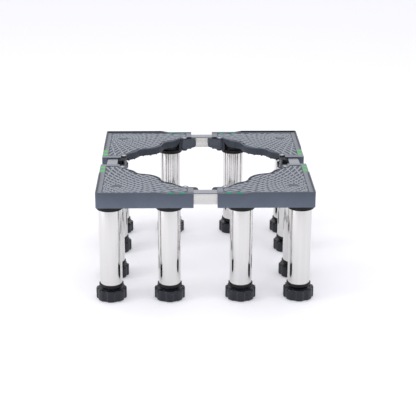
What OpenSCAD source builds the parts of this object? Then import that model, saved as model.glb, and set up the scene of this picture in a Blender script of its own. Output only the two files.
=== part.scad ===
// Height-adjustable stand for a washing machine or a refrigerator.
// Four identical corner trays are joined by square telescopic tubes, each tray clamps its
// two tubes with cam levers, and twelve steel legs stand on screw-out levelling feet.
// The stand is centred on the Z axis and its feet rest on Z = 0.

/* [Stand] */
// Width over the corner trays, as set
stand_w = 476; // [456:1:520]
// Depth over the corner trays, as set
stand_d = 476; // [456:1:520]

/* [Corner trays] */
// Length of a tray's outer sides
tray_len = 212; // [206:1:220]
// Height of a tray from its underside to the top of its rim
tray_h = 35; // [34:0.5:40]
// Height of the rim above the deck
rim_h = 3; // [2:0.5:6]
// Distance from a tray's end to where its rim has sloped down
rim_end = 58; // [50:1:64]
// Length of the rim's slope
rim_slope = 17; // [10:1:24]
// Thickness of the outer walls
wall_t = 3.2; // [2.4:0.1:4]
// Thickness of the deck
deck_t = 2.4; // [2.2:0.1:3.2]
// Radius of the outer vertical corner
corner_r = 4; // [2:0.5:8]
// Width of a tray's arm at its end
arm_w = 44; // [43:0.5:47]
// Length of the straight end of an arm
end_flat = 16; // [14:0.5:18]
// Width of the plain border along the outer sides
border_w = 13; // [8:0.5:16]
// Width of the plain border at the ends of the arms
end_border = 12.5; // [8:0.5:15]
// Width of the lip along the curved inner edge
edge_lip = 2; // [1.2:0.1:3]
// Depth of the sunk grip panel
panel_depth = 0.6; // [0.3:0.1:1]
// Height of the curved inner edge wall, deck included
edge_h = 17.5; // [14:0.5:18]
// Thickness of the curved inner edge wall
edge_t = 2.5; // [1.8:0.1:3.2]
// How far the ribs hang below the curved wall
rib_drop = 2; // [0:0.5:3]
// Thickness of the ribs under the deck
rib_t = 1.8; // [1.2:0.1:2.4]
// Spacing of the ribs under the deck
rib_pitch = 16; // [12:1:24]
// Length of the arch in the curved wall beside a lever's post
arch_len = 8; // [4:1:30]
// Height of the band of wall that is left over the arch, under the deck
arch_band = 5.8; // [3:0.2:10]

/* [Curved inner edge] */
// How far the middle lobe stands out of the edge's base line
lobe_out = 10.8; // [6:0.2:14]
// Radius of the middle lobe
lobe_r = 50; // [40:1:54]
// Depth of the dips beside the middle lobe, below the base line
dip_in = 3.2; // [2:0.2:5]
// Distance of the dips from the diagonal
dip_at = 43; // [40:0.5:46]
// How far the side lobes stand out of the base line
side_lobe_out = 1.8; // [1:0.2:3]
// Distance of the side lobes from the diagonal
side_lobe_at = 66; // [64:0.5:69]
// Distance from the diagonal at which the edge runs straight
straight_at = 84; // [82:0.5:88]

/* [Legs] */
// Distance of the leg axes from a tray's outer sides
leg_inset = 29; // [29:0.5:31]
// Distance of the arm legs from a tray's ends
leg_end = 53; // [50:0.5:56]
// Outer radius of the leg tubes
leg_r = 25; // [23:0.5:25.5]
// Wall thickness of the leg tubes
leg_wall = 0.9; // [0.6:0.1:1.5]
// Length of the leg tubes
leg_len = 186; // [120:1:300]
// Wall thickness of the sockets round the top of the leg tubes
socket_wall = 4.35; // [3:0.05:4.8]
// Depth of the sockets
socket_depth = 7; // [6:0.5:20]
// Thickness of the sockets' ceilings and the plugs' floors
cap_t = 2; // [1.5:0.1:3]
// Height of the sockets' locating rings
ring_h = 12; // [8:0.5:12]
// Thickness of the sockets' locating rings
ring_t = 2; // [1.5:0.1:2.2]
// Wall thickness of the plugs' lips round the bottom of the leg tubes
lip_wall = 1.85; // [1.5:0.05:3]
// Height of the plugs' lips above their floors
lip_h = 3; // [2:0.5:8]
// Length of the plugs inside the leg tubes
plug_len = 38; // [36:1:60]

/* [Feet] */
// Largest radius of the scalloped foot knobs
knob_r = 34; // [32:0.5:38]
// Height of the foot knobs
knob_h = 25; // [20:0.5:30]
// Number of scallops round a knob
scallops = 8; // [6:1:12]
// Radius of each scallop
scallop_r = 10; // [6:0.5:12]
// Depth of each scallop
scallop_depth = 3; // [1:0.1:3.5]
// Radius of the foot's threaded stem
stem_r = 17; // [14:0.5:19]
// Length of the threaded stem above the knob
stem_len = 66; // [60:1:72]
// Radius of the neck that stops a foot against its leg plug
neck_r = 21; // [20:0.5:24]
// Height of the neck
neck_h = 6; // [5.5:0.5:12]
// Radius of the rubber pad
pad_r = 28; // [24:0.5:29]
// Thickness of the rubber pad
pad_t = 3; // [2:0.5:5]
// Radius of the stud on the pad, which the knob turns on
stud_r = 6; // [4:0.5:8]
// Height of the stud above the pad
stud_h = 8; // [5:0.5:12]
// How far the pad stands out below its knob
pad_out = 1; // [0.5:0.1:1.5]

/* [Telescopic tubes] */
// Outer width of the square tubes
tube_w = 26; // [24:0.5:26]
// Wall thickness of the square tubes
tube_wall = 1.5; // [1:0.1:2.5]
// Corner radius of the square tubes
tube_corner = 2; // [1.5:0.1:4]
// Length of the square tubes
tube_len = 316; // [300:1:320]
// Distance of the tube axes from a tray's outer sides
tube_inset = 25.5; // [25:0.25:26]
// Thickness of the channel walls beside the tubes
guide_t = 2.5; // [2:0.1:2.8]
// Length of the plugs in the ends of the tubes
end_plug = 12; // [8:1:20]

/* [Cam levers] */
// Distance of a lever's pivot from the end of its arm
pivot_end = 17.5; // [17:0.25:20]
// Distance of a lever's pivot from the side of its tube
pivot_off = 12; // [11.5:0.25:12.5]
// Length of a lever from its pivot to its tip
lever_len = 29; // [26:0.5:30]
// How far a lever's blade curves back towards its tube
blade_drop = 3; // [1:0.5:6]
// Thickness of the blade
blade_t = 2.6; // [2:0.1:3]
// Thickness of the lever's top and bottom plates
plate_t = 2; // [1.6:0.1:3]
// How far the lever's lower edge has risen at its tip
tip_rise = 4.5; // [0:0.5:6]
// Radius of a lever's hub
hub_r = 6.5; // [5.5:0.25:7]
// Length of the cam that presses on the tube
cam_len = 9; // [6:0.5:10]
// Radius of the corners at a lever's tip
tip_r = 7; // [3:0.5:8]
// Radius of a lever's pin
pin_r = 2.5; // [2:0.1:3]
// Radius of the pin's head, sunk in the deck
pin_head_r = 3.5; // [3.2:0.1:4]
// Height of the pin's head
pin_head_h = 1.2; // [0.8:0.1:1.5]

/* [Marks] */
// Length of each coloured mark
mark_l = 12.5; // [8:0.5:16]
// Width of each coloured mark
mark_w = 10.5; // [5:0.5:11]
// Distance from an arm's end to its first mark
mark_end = 17.5; // [15:0.5:20]
// Spacing of the two marks on an arm
mark_pitch = 24.5; // [18:0.5:25]

/* [Hidden] */
$fn = 64;

// Corners, counted anticlockwise from the front left, and the legs of a corner
FRONT_LEFT = 0;
FRONT_RIGHT = 1;
BACK_RIGHT = 2;
BACK_LEFT = 3;
AT_CORNER = 0;
ON_FIRST_ARM = 1;
ON_SECOND_ARM = 2;

tray_colour = [0.36, 0.39, 0.44];
black = [0.07, 0.07, 0.08];
steel = [0.80, 0.81, 0.82];
rubber = [0.04, 0.04, 0.045];
green = [0.16, 0.66, 0.36];

// Clearances
slide_gap = 0.3;
turn_gap = 0.1;
seat_gap = 0.15;
stop_gap = 0.2;
lever_gap = 0.6;
collar_space = 2;
cut = 1;

// Heights, from the floor up
knob_z = pad_out;
knob_top = knob_z + knob_h;
plug_z = knob_top + neck_h;
leg_z = plug_z + cap_t;
leg_top = leg_z + leg_len;
tray_z = leg_top + cap_t;
rim_top = tray_z + tray_h;
deck_top = rim_top - rim_h;
deck_z = deck_top - deck_t;
tube_z = deck_z - slide_gap - tube_w;
floor_top = tube_z - slide_gap;
edge_z = deck_top - edge_h;
rib_z = edge_z - rib_drop;

// The tube's channel, measured from a tray's outer side
guide_in = tube_inset - tube_w / 2 - slide_gap;
guide_out = tube_inset + tube_w / 2 + slide_gap;
channel_w = guide_out + guide_t;

// Distance of the curved edge's base line from the outer corner, along the diagonal
edge_base = (tray_len - end_flat + arm_w) / sqrt(2);

// Leg and lever places in a tray, from its outer corner. A pivot lies further back where two
// trays stand so close that their levers' tips would meet.
leg_a = tray_len - leg_end;
arm_space = min(stand_w, stand_d) / 2 - tray_len;
pivot_back = max(pivot_end, lever_len + slide_gap - arm_space);
pivot_a = tray_len - pivot_back;
pivot_b = tube_inset + tube_w / 2 + pivot_off;
ring_out = leg_inset - wall_t - 2 * seat_gap;
socket_r = leg_r + seat_gap + socket_wall;
screw_ring_r = 20;
screw_r = 1.6;
boss_r = 3;
ear_r = hub_r;
post_r = 3.5;
post_a = pivot_a - hub_r - post_r - lever_gap;
post_b = sqrt(2) * edge_base - post_a - sqrt(2) * post_r;
guide_start = leg_inset + socket_r + collar_space;
guide_stop = post_a - post_r;
floor_start = leg_a - socket_r;

// The curved edge is a chain of tangent arcs, drawn on the tray's diagonal
apex = edge_base + lobe_out;
dip = edge_base - dip_in;
side_top = edge_base + side_lobe_out;
dip_r = arc_sum(dip_at, apex - dip) - lobe_r;
side_lobe_r = arc_sum(side_lobe_at - dip_at, side_top - dip) - dip_r;
run_out_r = arc_sum(straight_at - side_lobe_at, side_top - edge_base) - side_lobe_r;
lobe_c = [apex - lobe_r, 0];
dip_c = [dip + dip_r, dip_at];
side_c = [side_top - side_lobe_r, side_lobe_at];
run_out_c = [edge_base + run_out_r, straight_at];

// Radii of two tangent arcs added up, from the distance and height between their crests
function arc_sum(across, height) = (across * across + height * height) / (2 * height);

// Point where an outward arc, set in by d, passes into the inward arc next to it
function passing(out_c, out_r, in_c, in_r, d) = out_c + (in_c - out_c) * (out_r - d) / (out_r + in_r);

function flipped(p) = [p[0], -p[1]];

// Places a corner tray's pieces: the trays are one part turned by quarter turns
module at_corner(corner) {
  side_x = (corner == FRONT_LEFT || corner == BACK_LEFT) ? -1 : 1;
  side_y = (corner == FRONT_LEFT || corner == FRONT_RIGHT) ? -1 : 1;
  translate([side_x * stand_w / 2, side_y * stand_d / 2, 0]) rotate(90 * corner) children();
}

// Repeats a shape on a tray's first arm and, mirrored on the diagonal, on its second
module both_arms() {
  children();
  mirror([1, -1, 0]) children();
}

// Moves a shape to one of a tray's legs, with the second arm's as a mirror image
module at_leg(leg) {
  if (leg == AT_CORNER) translate([leg_inset, leg_inset, 0]) children();
  if (leg == ON_FIRST_ARM) translate([leg_a, leg_inset, 0]) children();
  if (leg == ON_SECOND_ARM) mirror([1, -1, 0]) translate([leg_a, leg_inset, 0]) children();
}

// Everything on the outer side of the curved edge, with that edge set in by d
module inside_edge(d) {
  p1 = passing(lobe_c, lobe_r, dip_c, dip_r, d);
  p2 = passing(side_c, side_lobe_r, dip_c, dip_r, d);
  p3 = passing(side_c, side_lobe_r, run_out_c, run_out_r, d);
  p4 = [edge_base - d, straight_at];
  far = [edge_base - d, tray_len];
  near = [-tray_len, tray_len];
  rotate(45) difference() {
    union() {
      polygon([p1, p2, p3, p4, far, near, flipped(near), flipped(far), flipped(p4),
        flipped(p3), flipped(p2), flipped(p1)]);
      translate(lobe_c) circle(lobe_r - d);
      for (side = [side_c, flipped(side_c)]) translate(side) circle(side_lobe_r - d);
    }
    for (c = [dip_c, flipped(dip_c)]) translate(c) circle(dip_r + d);
    for (c = [run_out_c, flipped(run_out_c)]) translate(c) circle(run_out_r + d);
  }
}

// A square from the outer corner with that corner rounded
module corner_square(size) {
  translate([corner_r, corner_r]) circle(corner_r);
  translate([corner_r, 0]) square([size - corner_r, size]);
  translate([0, corner_r]) square([size, size - corner_r]);
}

// Plan of the deck: the curved edge, the straight arm ends and the ears over the lever pivots
module deck_plan() {
  intersection() {
    inside_edge(0);
    corner_square(tray_len - end_flat);
  }
  both_arms() {
    translate([tray_len - end_flat - cut, 0]) square([end_flat + cut, arm_w]);
    translate([pivot_a, pivot_b]) circle(ear_r);
  }
}

// Plan of the sunk panel that carries the grip pattern
module panel_plan() {
  difference() {
    intersection() {
      inside_edge(edge_lip);
      translate([border_w, border_w]) square(tray_len - end_border - border_w);
    }
    both_arms() translate([pivot_a, pivot_b]) circle(ear_r + edge_lip);
    both_arms() translate([tray_len - end_flat, arm_w - edge_lip]) square([end_flat, edge_lip + cut]);
  }
}

// One outer wall with its rim, which slopes down towards the arm's end
module outer_wall() {
  translate([0, wall_t, tray_z]) rotate([90, 0, 0]) linear_extrude(wall_t) polygon([
    [0, 0],
    [tray_len, 0],
    [tray_len, tray_h - rim_h],
    [tray_len - rim_end, tray_h - rim_h],
    [tray_len - rim_end - rim_slope, tray_h],
    [0, tray_h]
  ]);
}

// The channel that one tube slides in: two guide walls, a closed end and a floor over the leg
module channel() {
  up = deck_z - tray_z + cut / 2;
  translate([guide_start, guide_in - guide_t, tray_z]) cube([tray_len - guide_start, guide_t, up]);
  translate([guide_start, guide_out, tray_z]) cube([guide_stop - guide_start, guide_t, up]);
  translate([tray_len - wall_t, 0, tray_z]) cube([wall_t, guide_in, up]);
  translate([floor_start, 0, tray_z]) cube([tray_len - floor_start, channel_w, floor_top - tray_z]);
}

// The lug that holds the lower end of a lever's pin, and the post where the curved wall ends
module lever_seat() {
  linear_extrude_at(tray_z, floor_top) {
    translate([pivot_a, pivot_b]) circle(hub_r);
    translate([pivot_a, channel_w - cut]) square([hub_r, pivot_b - channel_w + cut]);
  }
  linear_extrude_at(tray_z, deck_z + cut / 2) translate([post_a, post_b]) circle(post_r);
}

module linear_extrude_at(from, to) {
  translate([0, 0, from]) linear_extrude(to - from) children();
}

// Screw places round a leg: the arm legs keep theirs clear of the tube's channel
corner_screws = [225, 345, 105];
arm_screws = [270, 50, 130];

module screw_places(angles) {
  for (angle = angles) rotate(angle) translate([screw_ring_r, 0, 0]) children();
}

// Bosses for a leg socket's screws
module bosses(angles) {
  linear_extrude_at(tray_z, deck_z + cut / 2) screw_places(angles) circle(boss_r);
}

// Clears the arch through which the arm's leg socket shows beside a lever's post
module arch() {
  crown = deck_z - arch_band;
  translate([0, tray_len, 0]) rotate([90, 0, 0]) linear_extrude(tray_len - channel_w) polygon([
    [post_a - arch_len, tray_z],
    [post_a + post_r, tray_z],
    [post_a + post_r, crown],
    [post_a, crown],
    [post_a - arch_len, edge_z]
  ]);
}

// Ribs under the deck: one family runs along the diagonal and one across it
module ribs() {
  reach = floor(straight_at / rib_pitch) * rib_pitch;
  intersection() {
    linear_extrude_at(rib_z, deck_z + cut / 2) intersection() {
      inside_edge(edge_t / 2);
      translate([guide_out, guide_out]) square(post_a - guide_out);
    }
    rotate(45) union() {
      for (across = [-reach : rib_pitch : reach])
        translate([0, across - rib_t / 2, rib_z]) cube([2 * tray_len, rib_t, edge_h + rib_drop]);
      for (along = [edge_base - 1.5 * rib_pitch : -1.5 * rib_pitch : tray_len / 3])
        translate([along - rib_t / 2, -tray_len, rib_z]) cube([rib_t, 2 * tray_len, edge_h + rib_drop]);
    }
  }
}

// The curved wall under the deck's inner edge, from one lever's post to the other's
module edge_wall() {
  linear_extrude_at(edge_z, deck_z + cut / 2) intersection() {
    difference() {
      inside_edge(0);
      inside_edge(edge_t);
    }
    square(post_a);
  }
}

// Collar in the tray that the corner leg's socket sits in
module corner_collar() {
  linear_extrude_at(tray_z, deck_z + cut / 2) translate([leg_inset, leg_inset]) difference() {
    circle(ring_out + seat_gap + ring_t);
    circle(ring_out + seat_gap);
  }
}

module mark_places() {
  for (place = [0, 1])
    translate([tray_len - mark_end - mark_l - place * mark_pitch, wall_t / 2]) children();
}

// One moulded corner tray in its own frame, with its outer corner at the origin
module tray() {
  difference() {
    union() {
      linear_extrude_at(deck_z, deck_top) deck_plan();
      intersection() {
        both_arms() outer_wall();
        linear_extrude_at(tray_z, rim_top) corner_square(tray_len);
      }
      both_arms() {
        channel();
        lever_seat();
        translate([leg_a, leg_inset, 0]) bosses(arm_screws);
      }
      translate([leg_inset, leg_inset, 0]) bosses(corner_screws);
      corner_collar();
      difference() {
        union() {
          edge_wall();
          ribs();
        }
        both_arms() arch();
      }
    }
    linear_extrude_at(deck_top - panel_depth, deck_top + cut) panel_plan();
    both_arms() {
      linear_extrude_at(deck_top - panel_depth, deck_top + cut) mark_places() square([mark_l, mark_w]);
      translate([pivot_a, pivot_b, 0]) {
        linear_extrude_at(tray_z - cut, deck_top + cut) circle(pin_r + seat_gap);
        linear_extrude_at(deck_top - pin_head_h, deck_top + cut) circle(pin_head_r + seat_gap);
      }
      linear_extrude_at(tray_z - cut, deck_z - slide_gap) translate([leg_a, leg_inset, 0])
        screw_places(arm_screws) circle(screw_r + seat_gap);
    }
    linear_extrude_at(tray_z - cut, deck_z - slide_gap) translate([leg_inset, leg_inset, 0])
      screw_places(corner_screws) circle(screw_r + seat_gap);
  }
}

// Stainless tube of one leg
module leg_tube() {
  translate([0, 0, leg_z]) difference() {
    cylinder(r = leg_r, h = leg_len);
    translate([0, 0, -cut]) cylinder(r = leg_r - leg_wall, h = leg_len + 2 * cut);
  }
}

// Cup round the top of a leg tube, screwed to the tray from inside the tube's end
module leg_socket(angles) {
  bore_r = leg_r + seat_gap;
  lead = 1.2;
  difference() {
    rotate_extrude() polygon([
      [0, leg_top],
      [bore_r, leg_top],
      [bore_r, leg_top - socket_depth],
      [socket_r - lead, leg_top - socket_depth],
      [socket_r - lead / 3, leg_top - socket_depth + lead / 3],
      [socket_r, leg_top - socket_depth + lead],
      [socket_r, tray_z],
      [0, tray_z]
    ]);
    linear_extrude_at(leg_top - cut, tray_z + cut) screw_places(angles) circle(screw_r + seat_gap);
  }
}

// Upright ring that locates a socket in the tray
module locating_ring() {
  linear_extrude_at(tray_z, tray_z + ring_h) difference() {
    circle(ring_out);
    circle(ring_out - ring_t);
  }
}

// On an arm the ring keeps only the crescent beside the tube's channel
module arm_crescent() {
  intersection() {
    locating_ring();
    translate([-socket_r, channel_w - leg_inset + seat_gap, tray_z]) cube([2 * socket_r, socket_r, ring_h]);
  }
}

// Plug in the bottom of a leg tube, with a lip round the tube and a bore for the foot's stem
module leg_plug() {
  plug_r = leg_r - leg_wall - seat_gap;
  rotate_extrude() polygon([
    [stem_r + turn_gap, plug_z],
    [leg_r + seat_gap + lip_wall, plug_z],
    [leg_r + seat_gap + lip_wall, leg_z + lip_h],
    [leg_r + seat_gap, leg_z + lip_h],
    [leg_r + seat_gap, leg_z],
    [plug_r, leg_z],
    [plug_r, leg_z + plug_len],
    [stem_r + turn_gap, leg_z + plug_len]
  ]);
}

// Pan-head screw that points up into a boss
module socket_screw() {
  head_r = 3;
  head_h = 2;
  screw_len = 14;
  translate([0, 0, leg_top - head_h]) cylinder(r = head_r, h = head_h);
  translate([0, 0, leg_top - cut]) cylinder(r = screw_r, h = screw_len);
}

// Pin of one lever, with its head sunk in the deck's ear and a spread lower end
module lever_pin() {
  seat_z = deck_top - pin_head_h;
  head_top = deck_top - turn_gap;
  chamfer = pin_head_h / 4;
  translate([pivot_a, pivot_b, 0]) rotate_extrude() polygon([
    [0, tray_z - chamfer],
    [pin_r, tray_z - chamfer],
    [pin_r, seat_z],
    [pin_head_r, seat_z],
    [pin_head_r, head_top - chamfer],
    [pin_head_r - chamfer, head_top],
    [0, head_top]
  ]);
}

// Scalloped outline of a foot knob
module knob_plan() {
  difference() {
    circle(knob_r);
    for (turn = [0 : scallops - 1])
      rotate(360 * (turn + 0.5) / scallops)
        translate([knob_r + scallop_r - scallop_depth, 0]) circle(scallop_r);
  }
}

// Foot knob with its neck and threaded stem, which turns on the rubber pad's stud
module knob() {
  round_r = 3;
  moat_in = 5;
  moat_depth = 2;
  moat_r = knob_r - scallop_depth - moat_in;
  intersection() {
    linear_extrude_at(knob_z, knob_top) knob_plan();
    rotate_extrude() polygon([
      [pad_r + turn_gap, knob_z],
      [knob_r - round_r, knob_z],
      [knob_r - round_r * 0.3, knob_z + round_r * 0.3],
      [knob_r, knob_z + round_r],
      [knob_r, knob_top - round_r],
      [knob_r - round_r * 0.3, knob_top - round_r * 0.3],
      [knob_r - round_r, knob_top],
      [moat_r, knob_top],
      [moat_r - moat_depth / 2, knob_top - moat_depth],
      [0, knob_top - moat_depth],
      [0, pad_t + stud_h + 2 * turn_gap],
      [stud_r + turn_gap, pad_t + stud_h + 2 * turn_gap],
      [stud_r + turn_gap, pad_t + turn_gap],
      [pad_r + turn_gap, pad_t + turn_gap]
    ]);
  }
  translate([0, 0, knob_top - moat_depth - cut]) {
    cylinder(r = neck_r, h = moat_depth + cut + neck_h - stop_gap);
    cylinder(r = stem_r, h = moat_depth + cut + stem_len);
  }
}

// Rubber pad under a knob, with the stud that the knob turns on
module pad() {
  groove_w = 2;
  groove_depth = 1;
  difference() {
    cylinder(r = pad_r, h = pad_t);
    for (r = [pad_r / 2, pad_r * 3 / 4]) translate([0, 0, -cut]) difference() {
      cylinder(r = r + groove_w / 2, h = groove_depth + cut);
      cylinder(r = r - groove_w / 2, h = groove_depth + cut);
    }
  }
  translate([0, 0, pad_t - cut / 2]) cylinder(r = stud_r, h = stud_h + cut / 2);
}

// Disc whose rim is the arc of a lever's blade, moved in by d: the blade leaves the hub level
module blade_disc(d) {
  arc_r = arc_sum(lever_len, blade_drop);
  translate([0, hub_r - arc_r]) circle(arc_r - d, $fn = 128);
}

// Plan of a lever: its hub, its cam and the plates from the blade to close beside the tube
module lever_plan() {
  circle(hub_r);
  translate([0, stop_gap - pivot_off]) square([cam_len, pivot_off - stop_gap]);
  intersection() {
    blade_disc(0);
    translate([0, lever_gap - pivot_off]) square([lever_len, pivot_off + hub_r]);
  }
}

// Plan of the space in a lever, between its blade, its cam and the back of its hub
module lever_hollow() {
  circle(hub_r - blade_t);
  difference() {
    intersection() {
      blade_disc(blade_t);
      translate([0, -pivot_off - cut]) square([lever_len + cut, pivot_off + hub_r + cut]);
    }
    translate([-cut, -pivot_off - 2 * cut]) square([cam_len + cut, pivot_off + 2 * cut - pin_head_r]);
  }
}

// Side view of a lever, along X and up Z: the lower edge rises towards the round tip
module lever_side(bottom, top) {
  tip_x = lever_len - tip_r;
  low_z = bottom + tip_rise + tip_r;
  polygon([[-hub_r, bottom], [hub_r, bottom], [tip_x, bottom + tip_rise], [tip_x, top], [-hub_r, top]]);
  translate([tip_x - cut, low_z]) square([tip_r + cut, top - tip_r - low_z]);
  for (z = [low_z, top - tip_r]) translate([tip_x, z]) circle(tip_r);
}

// Side view of the space between a lever's plates, which is open at the tip
module hollow_side(bottom, top) {
  far_x = lever_len + cut;
  polygon([
    [-hub_r, bottom],
    [hub_r, bottom],
    [lever_len - tip_r, bottom + tip_rise],
    [far_x, bottom + tip_rise],
    [far_x, top],
    [-hub_r, top]
  ]);
}

// Carries a side view across the width of a lever
module across_lever() {
  reach = pivot_off + hub_r;
  translate([0, reach, 0]) rotate([90, 0, 0]) linear_extrude(2 * reach) children();
}

// Cam lever round its pivot: it points along +X and its tube lies on the -Y side. It is a channel
// with a top plate, a bottom plate and the blade between them, open at the tip and to the tube.
module lever() {
  bottom = floor_top + lever_gap;
  top = deck_z - lever_gap;
  panel = 0.6;
  frame_w = 2.6;
  difference() {
    intersection() {
      linear_extrude_at(bottom, top) lever_plan();
      across_lever() lever_side(bottom, top);
    }
    intersection() {
      linear_extrude_at(bottom, top) lever_hollow();
      across_lever() hollow_side(bottom + plate_t, top - plate_t);
    }
    linear_extrude_at(bottom + tip_rise + frame_w, top - frame_w) difference() {
      translate([frame_w, 0]) square([lever_len - 2.5 * frame_w, 2 * hub_r]);
      blade_disc(panel);
    }
    linear_extrude_at(bottom - cut, top + cut) circle(pin_r + turn_gap);
  }
}

// Square tube section with rounded corners
module tube_section(w, r) {
  square([w, w - 2 * r], center = true);
  square([w - 2 * r, w], center = true);
  for (a = [-1, 1], b = [-1, 1]) translate([a, b] * (w / 2 - r)) circle(r);
}

// Telescopic tube along X with a plug in each end
module telescopic_tube() {
  bore_w = tube_w - 2 * tube_wall;
  bore_corner = tube_corner - tube_wall / 2;
  translate([0, tube_inset, tube_z + tube_w / 2]) rotate([90, 0, 90]) {
    linear_extrude(tube_len, center = true) difference() {
      tube_section(tube_w, tube_corner);
      tube_section(bore_w, bore_corner);
    }
    for (end = [-1, 1]) translate([0, 0, end * (tube_len - end_plug) / 2])
      linear_extrude(end_plug, center = true) tube_section(bore_w - 2 * seat_gap, bore_corner);
  }
}

module corner_tray(corner) {
  color(tray_colour) at_corner(corner) tray();
}

module leg_tubes(corner) {
  color(steel) at_corner(corner) for (leg = [0 : 2]) at_leg(leg) leg_tube();
}

module leg_sockets(corner) {
  color(black) at_corner(corner) {
    at_leg(AT_CORNER) {
      leg_socket(corner_screws);
      locating_ring();
    }
    for (leg = [ON_FIRST_ARM, ON_SECOND_ARM]) at_leg(leg) {
      leg_socket(arm_screws);
      arm_crescent();
    }
  }
}

module leg_plugs(corner) {
  color(black) at_corner(corner) for (leg = [0 : 2]) at_leg(leg) leg_plug();
}

module pins_and_screws(corner) {
  color(steel) at_corner(corner) {
    at_leg(AT_CORNER) screw_places(corner_screws) socket_screw();
    for (leg = [ON_FIRST_ARM, ON_SECOND_ARM]) at_leg(leg) screw_places(arm_screws) socket_screw();
    both_arms() lever_pin();
  }
}

module marks(corner) {
  raised = 0.2;
  color(green) at_corner(corner) both_arms()
    linear_extrude_at(deck_top - panel_depth, deck_top + raised) mark_places()
      translate([seat_gap, seat_gap]) square([mark_l, mark_w] - 2 * [seat_gap, seat_gap]);
}

module lock_lever(corner, second = false) {
  color(tray_colour) at_corner(corner) mirror([second ? 1 : 0, second ? -1 : 0, 0])
    translate([pivot_a, pivot_b, 0]) lever();
}

module cross_tube(side) {
  half = side % 2 == 0 ? stand_d / 2 : stand_w / 2;
  color(steel) rotate(90 * side) translate([0, -half, 0]) telescopic_tube();
}

module foot_knob(corner, leg) {
  color(black) at_corner(corner) at_leg(leg) knob();
}

module foot_pad(corner, leg) {
  color(rubber) at_corner(corner) at_leg(leg) pad();
}

corner_tray(FRONT_LEFT);  // corner_tray_front_left
corner_tray(FRONT_RIGHT);  // corner_tray_front_right
corner_tray(BACK_RIGHT);  // corner_tray_back_right
corner_tray(BACK_LEFT);  // corner_tray_back_left
leg_tubes(FRONT_LEFT);  // leg_tubes_front_left
leg_tubes(FRONT_RIGHT);  // leg_tubes_front_right
leg_tubes(BACK_RIGHT);  // leg_tubes_back_right
leg_tubes(BACK_LEFT);  // leg_tubes_back_left
leg_sockets(FRONT_LEFT);  // leg_sockets_front_left
leg_sockets(FRONT_RIGHT);  // leg_sockets_front_right
leg_sockets(BACK_RIGHT);  // leg_sockets_back_right
leg_sockets(BACK_LEFT);  // leg_sockets_back_left
leg_plugs(FRONT_LEFT);  // leg_plugs_front_left
leg_plugs(FRONT_RIGHT);  // leg_plugs_front_right
leg_plugs(BACK_RIGHT);  // leg_plugs_back_right
leg_plugs(BACK_LEFT);  // leg_plugs_back_left
pins_and_screws(FRONT_LEFT);  // pins_and_screws_front_left
pins_and_screws(FRONT_RIGHT);  // pins_and_screws_front_right
pins_and_screws(BACK_RIGHT);  // pins_and_screws_back_right
pins_and_screws(BACK_LEFT);  // pins_and_screws_back_left
marks(FRONT_LEFT);  // marks_front_left
marks(FRONT_RIGHT);  // marks_front_right
marks(BACK_RIGHT);  // marks_back_right
marks(BACK_LEFT);  // marks_back_left
lock_lever(FRONT_LEFT);  // lock_lever_front_left
lock_lever(FRONT_LEFT, second = true);  // lock_lever_left_front
lock_lever(FRONT_RIGHT);  // lock_lever_right_front
lock_lever(FRONT_RIGHT, second = true);  // lock_lever_front_right
lock_lever(BACK_RIGHT);  // lock_lever_back_right
lock_lever(BACK_RIGHT, second = true);  // lock_lever_right_back
lock_lever(BACK_LEFT);  // lock_lever_left_back
lock_lever(BACK_LEFT, second = true);  // lock_lever_back_left
cross_tube(0);  // cross_tube_front
cross_tube(1);  // cross_tube_right
cross_tube(2);  // cross_tube_back
cross_tube(3);  // cross_tube_left
foot_knob(FRONT_LEFT, AT_CORNER);  // foot_knob_front_1
foot_knob(FRONT_LEFT, ON_FIRST_ARM);  // foot_knob_front_2
foot_knob(FRONT_LEFT, ON_SECOND_ARM);  // foot_knob_left_1
foot_knob(FRONT_RIGHT, AT_CORNER);  // foot_knob_front_4
foot_knob(FRONT_RIGHT, ON_FIRST_ARM);  // foot_knob_right_1
foot_knob(FRONT_RIGHT, ON_SECOND_ARM);  // foot_knob_front_3
foot_knob(BACK_RIGHT, AT_CORNER);  // foot_knob_back_4
foot_knob(BACK_RIGHT, ON_FIRST_ARM);  // foot_knob_back_3
foot_knob(BACK_RIGHT, ON_SECOND_ARM);  // foot_knob_right_2
foot_knob(BACK_LEFT, AT_CORNER);  // foot_knob_back_1
foot_knob(BACK_LEFT, ON_FIRST_ARM);  // foot_knob_left_2
foot_knob(BACK_LEFT, ON_SECOND_ARM);  // foot_knob_back_2
foot_pad(FRONT_LEFT, AT_CORNER);  // foot_pad_front_1
foot_pad(FRONT_LEFT, ON_FIRST_ARM);  // foot_pad_front_2
foot_pad(FRONT_LEFT, ON_SECOND_ARM);  // foot_pad_left_1
foot_pad(FRONT_RIGHT, AT_CORNER);  // foot_pad_front_4
foot_pad(FRONT_RIGHT, ON_FIRST_ARM);  // foot_pad_right_1
foot_pad(FRONT_RIGHT, ON_SECOND_ARM);  // foot_pad_front_3
foot_pad(BACK_RIGHT, AT_CORNER);  // foot_pad_back_4
foot_pad(BACK_RIGHT, ON_FIRST_ARM);  // foot_pad_back_3
foot_pad(BACK_RIGHT, ON_SECOND_ARM);  // foot_pad_right_2
foot_pad(BACK_LEFT, AT_CORNER);  // foot_pad_back_1
foot_pad(BACK_LEFT, ON_FIRST_ARM);  // foot_pad_left_2
foot_pad(BACK_LEFT, ON_SECOND_ARM);  // foot_pad_back_2
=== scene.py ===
"""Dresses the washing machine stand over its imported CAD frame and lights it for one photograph.

The corner trays, levers, sockets, pads, marks and fasteners keep their CAD shapes and get moulded,
painted or plated finishes. The polished legs, the leg plugs, the threaded foot knobs, the telescopic tubes
and the trays' grip pattern are worked out here as surfaces of two parameters. Sizes are in millimetres and
match the part's source.
"""
import logging
import math
from collections.abc import Sequence
from dataclasses import dataclass
from enum import Enum

import bmesh
import bpy
import numpy as np
from mathutils import Matrix, Vector

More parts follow.
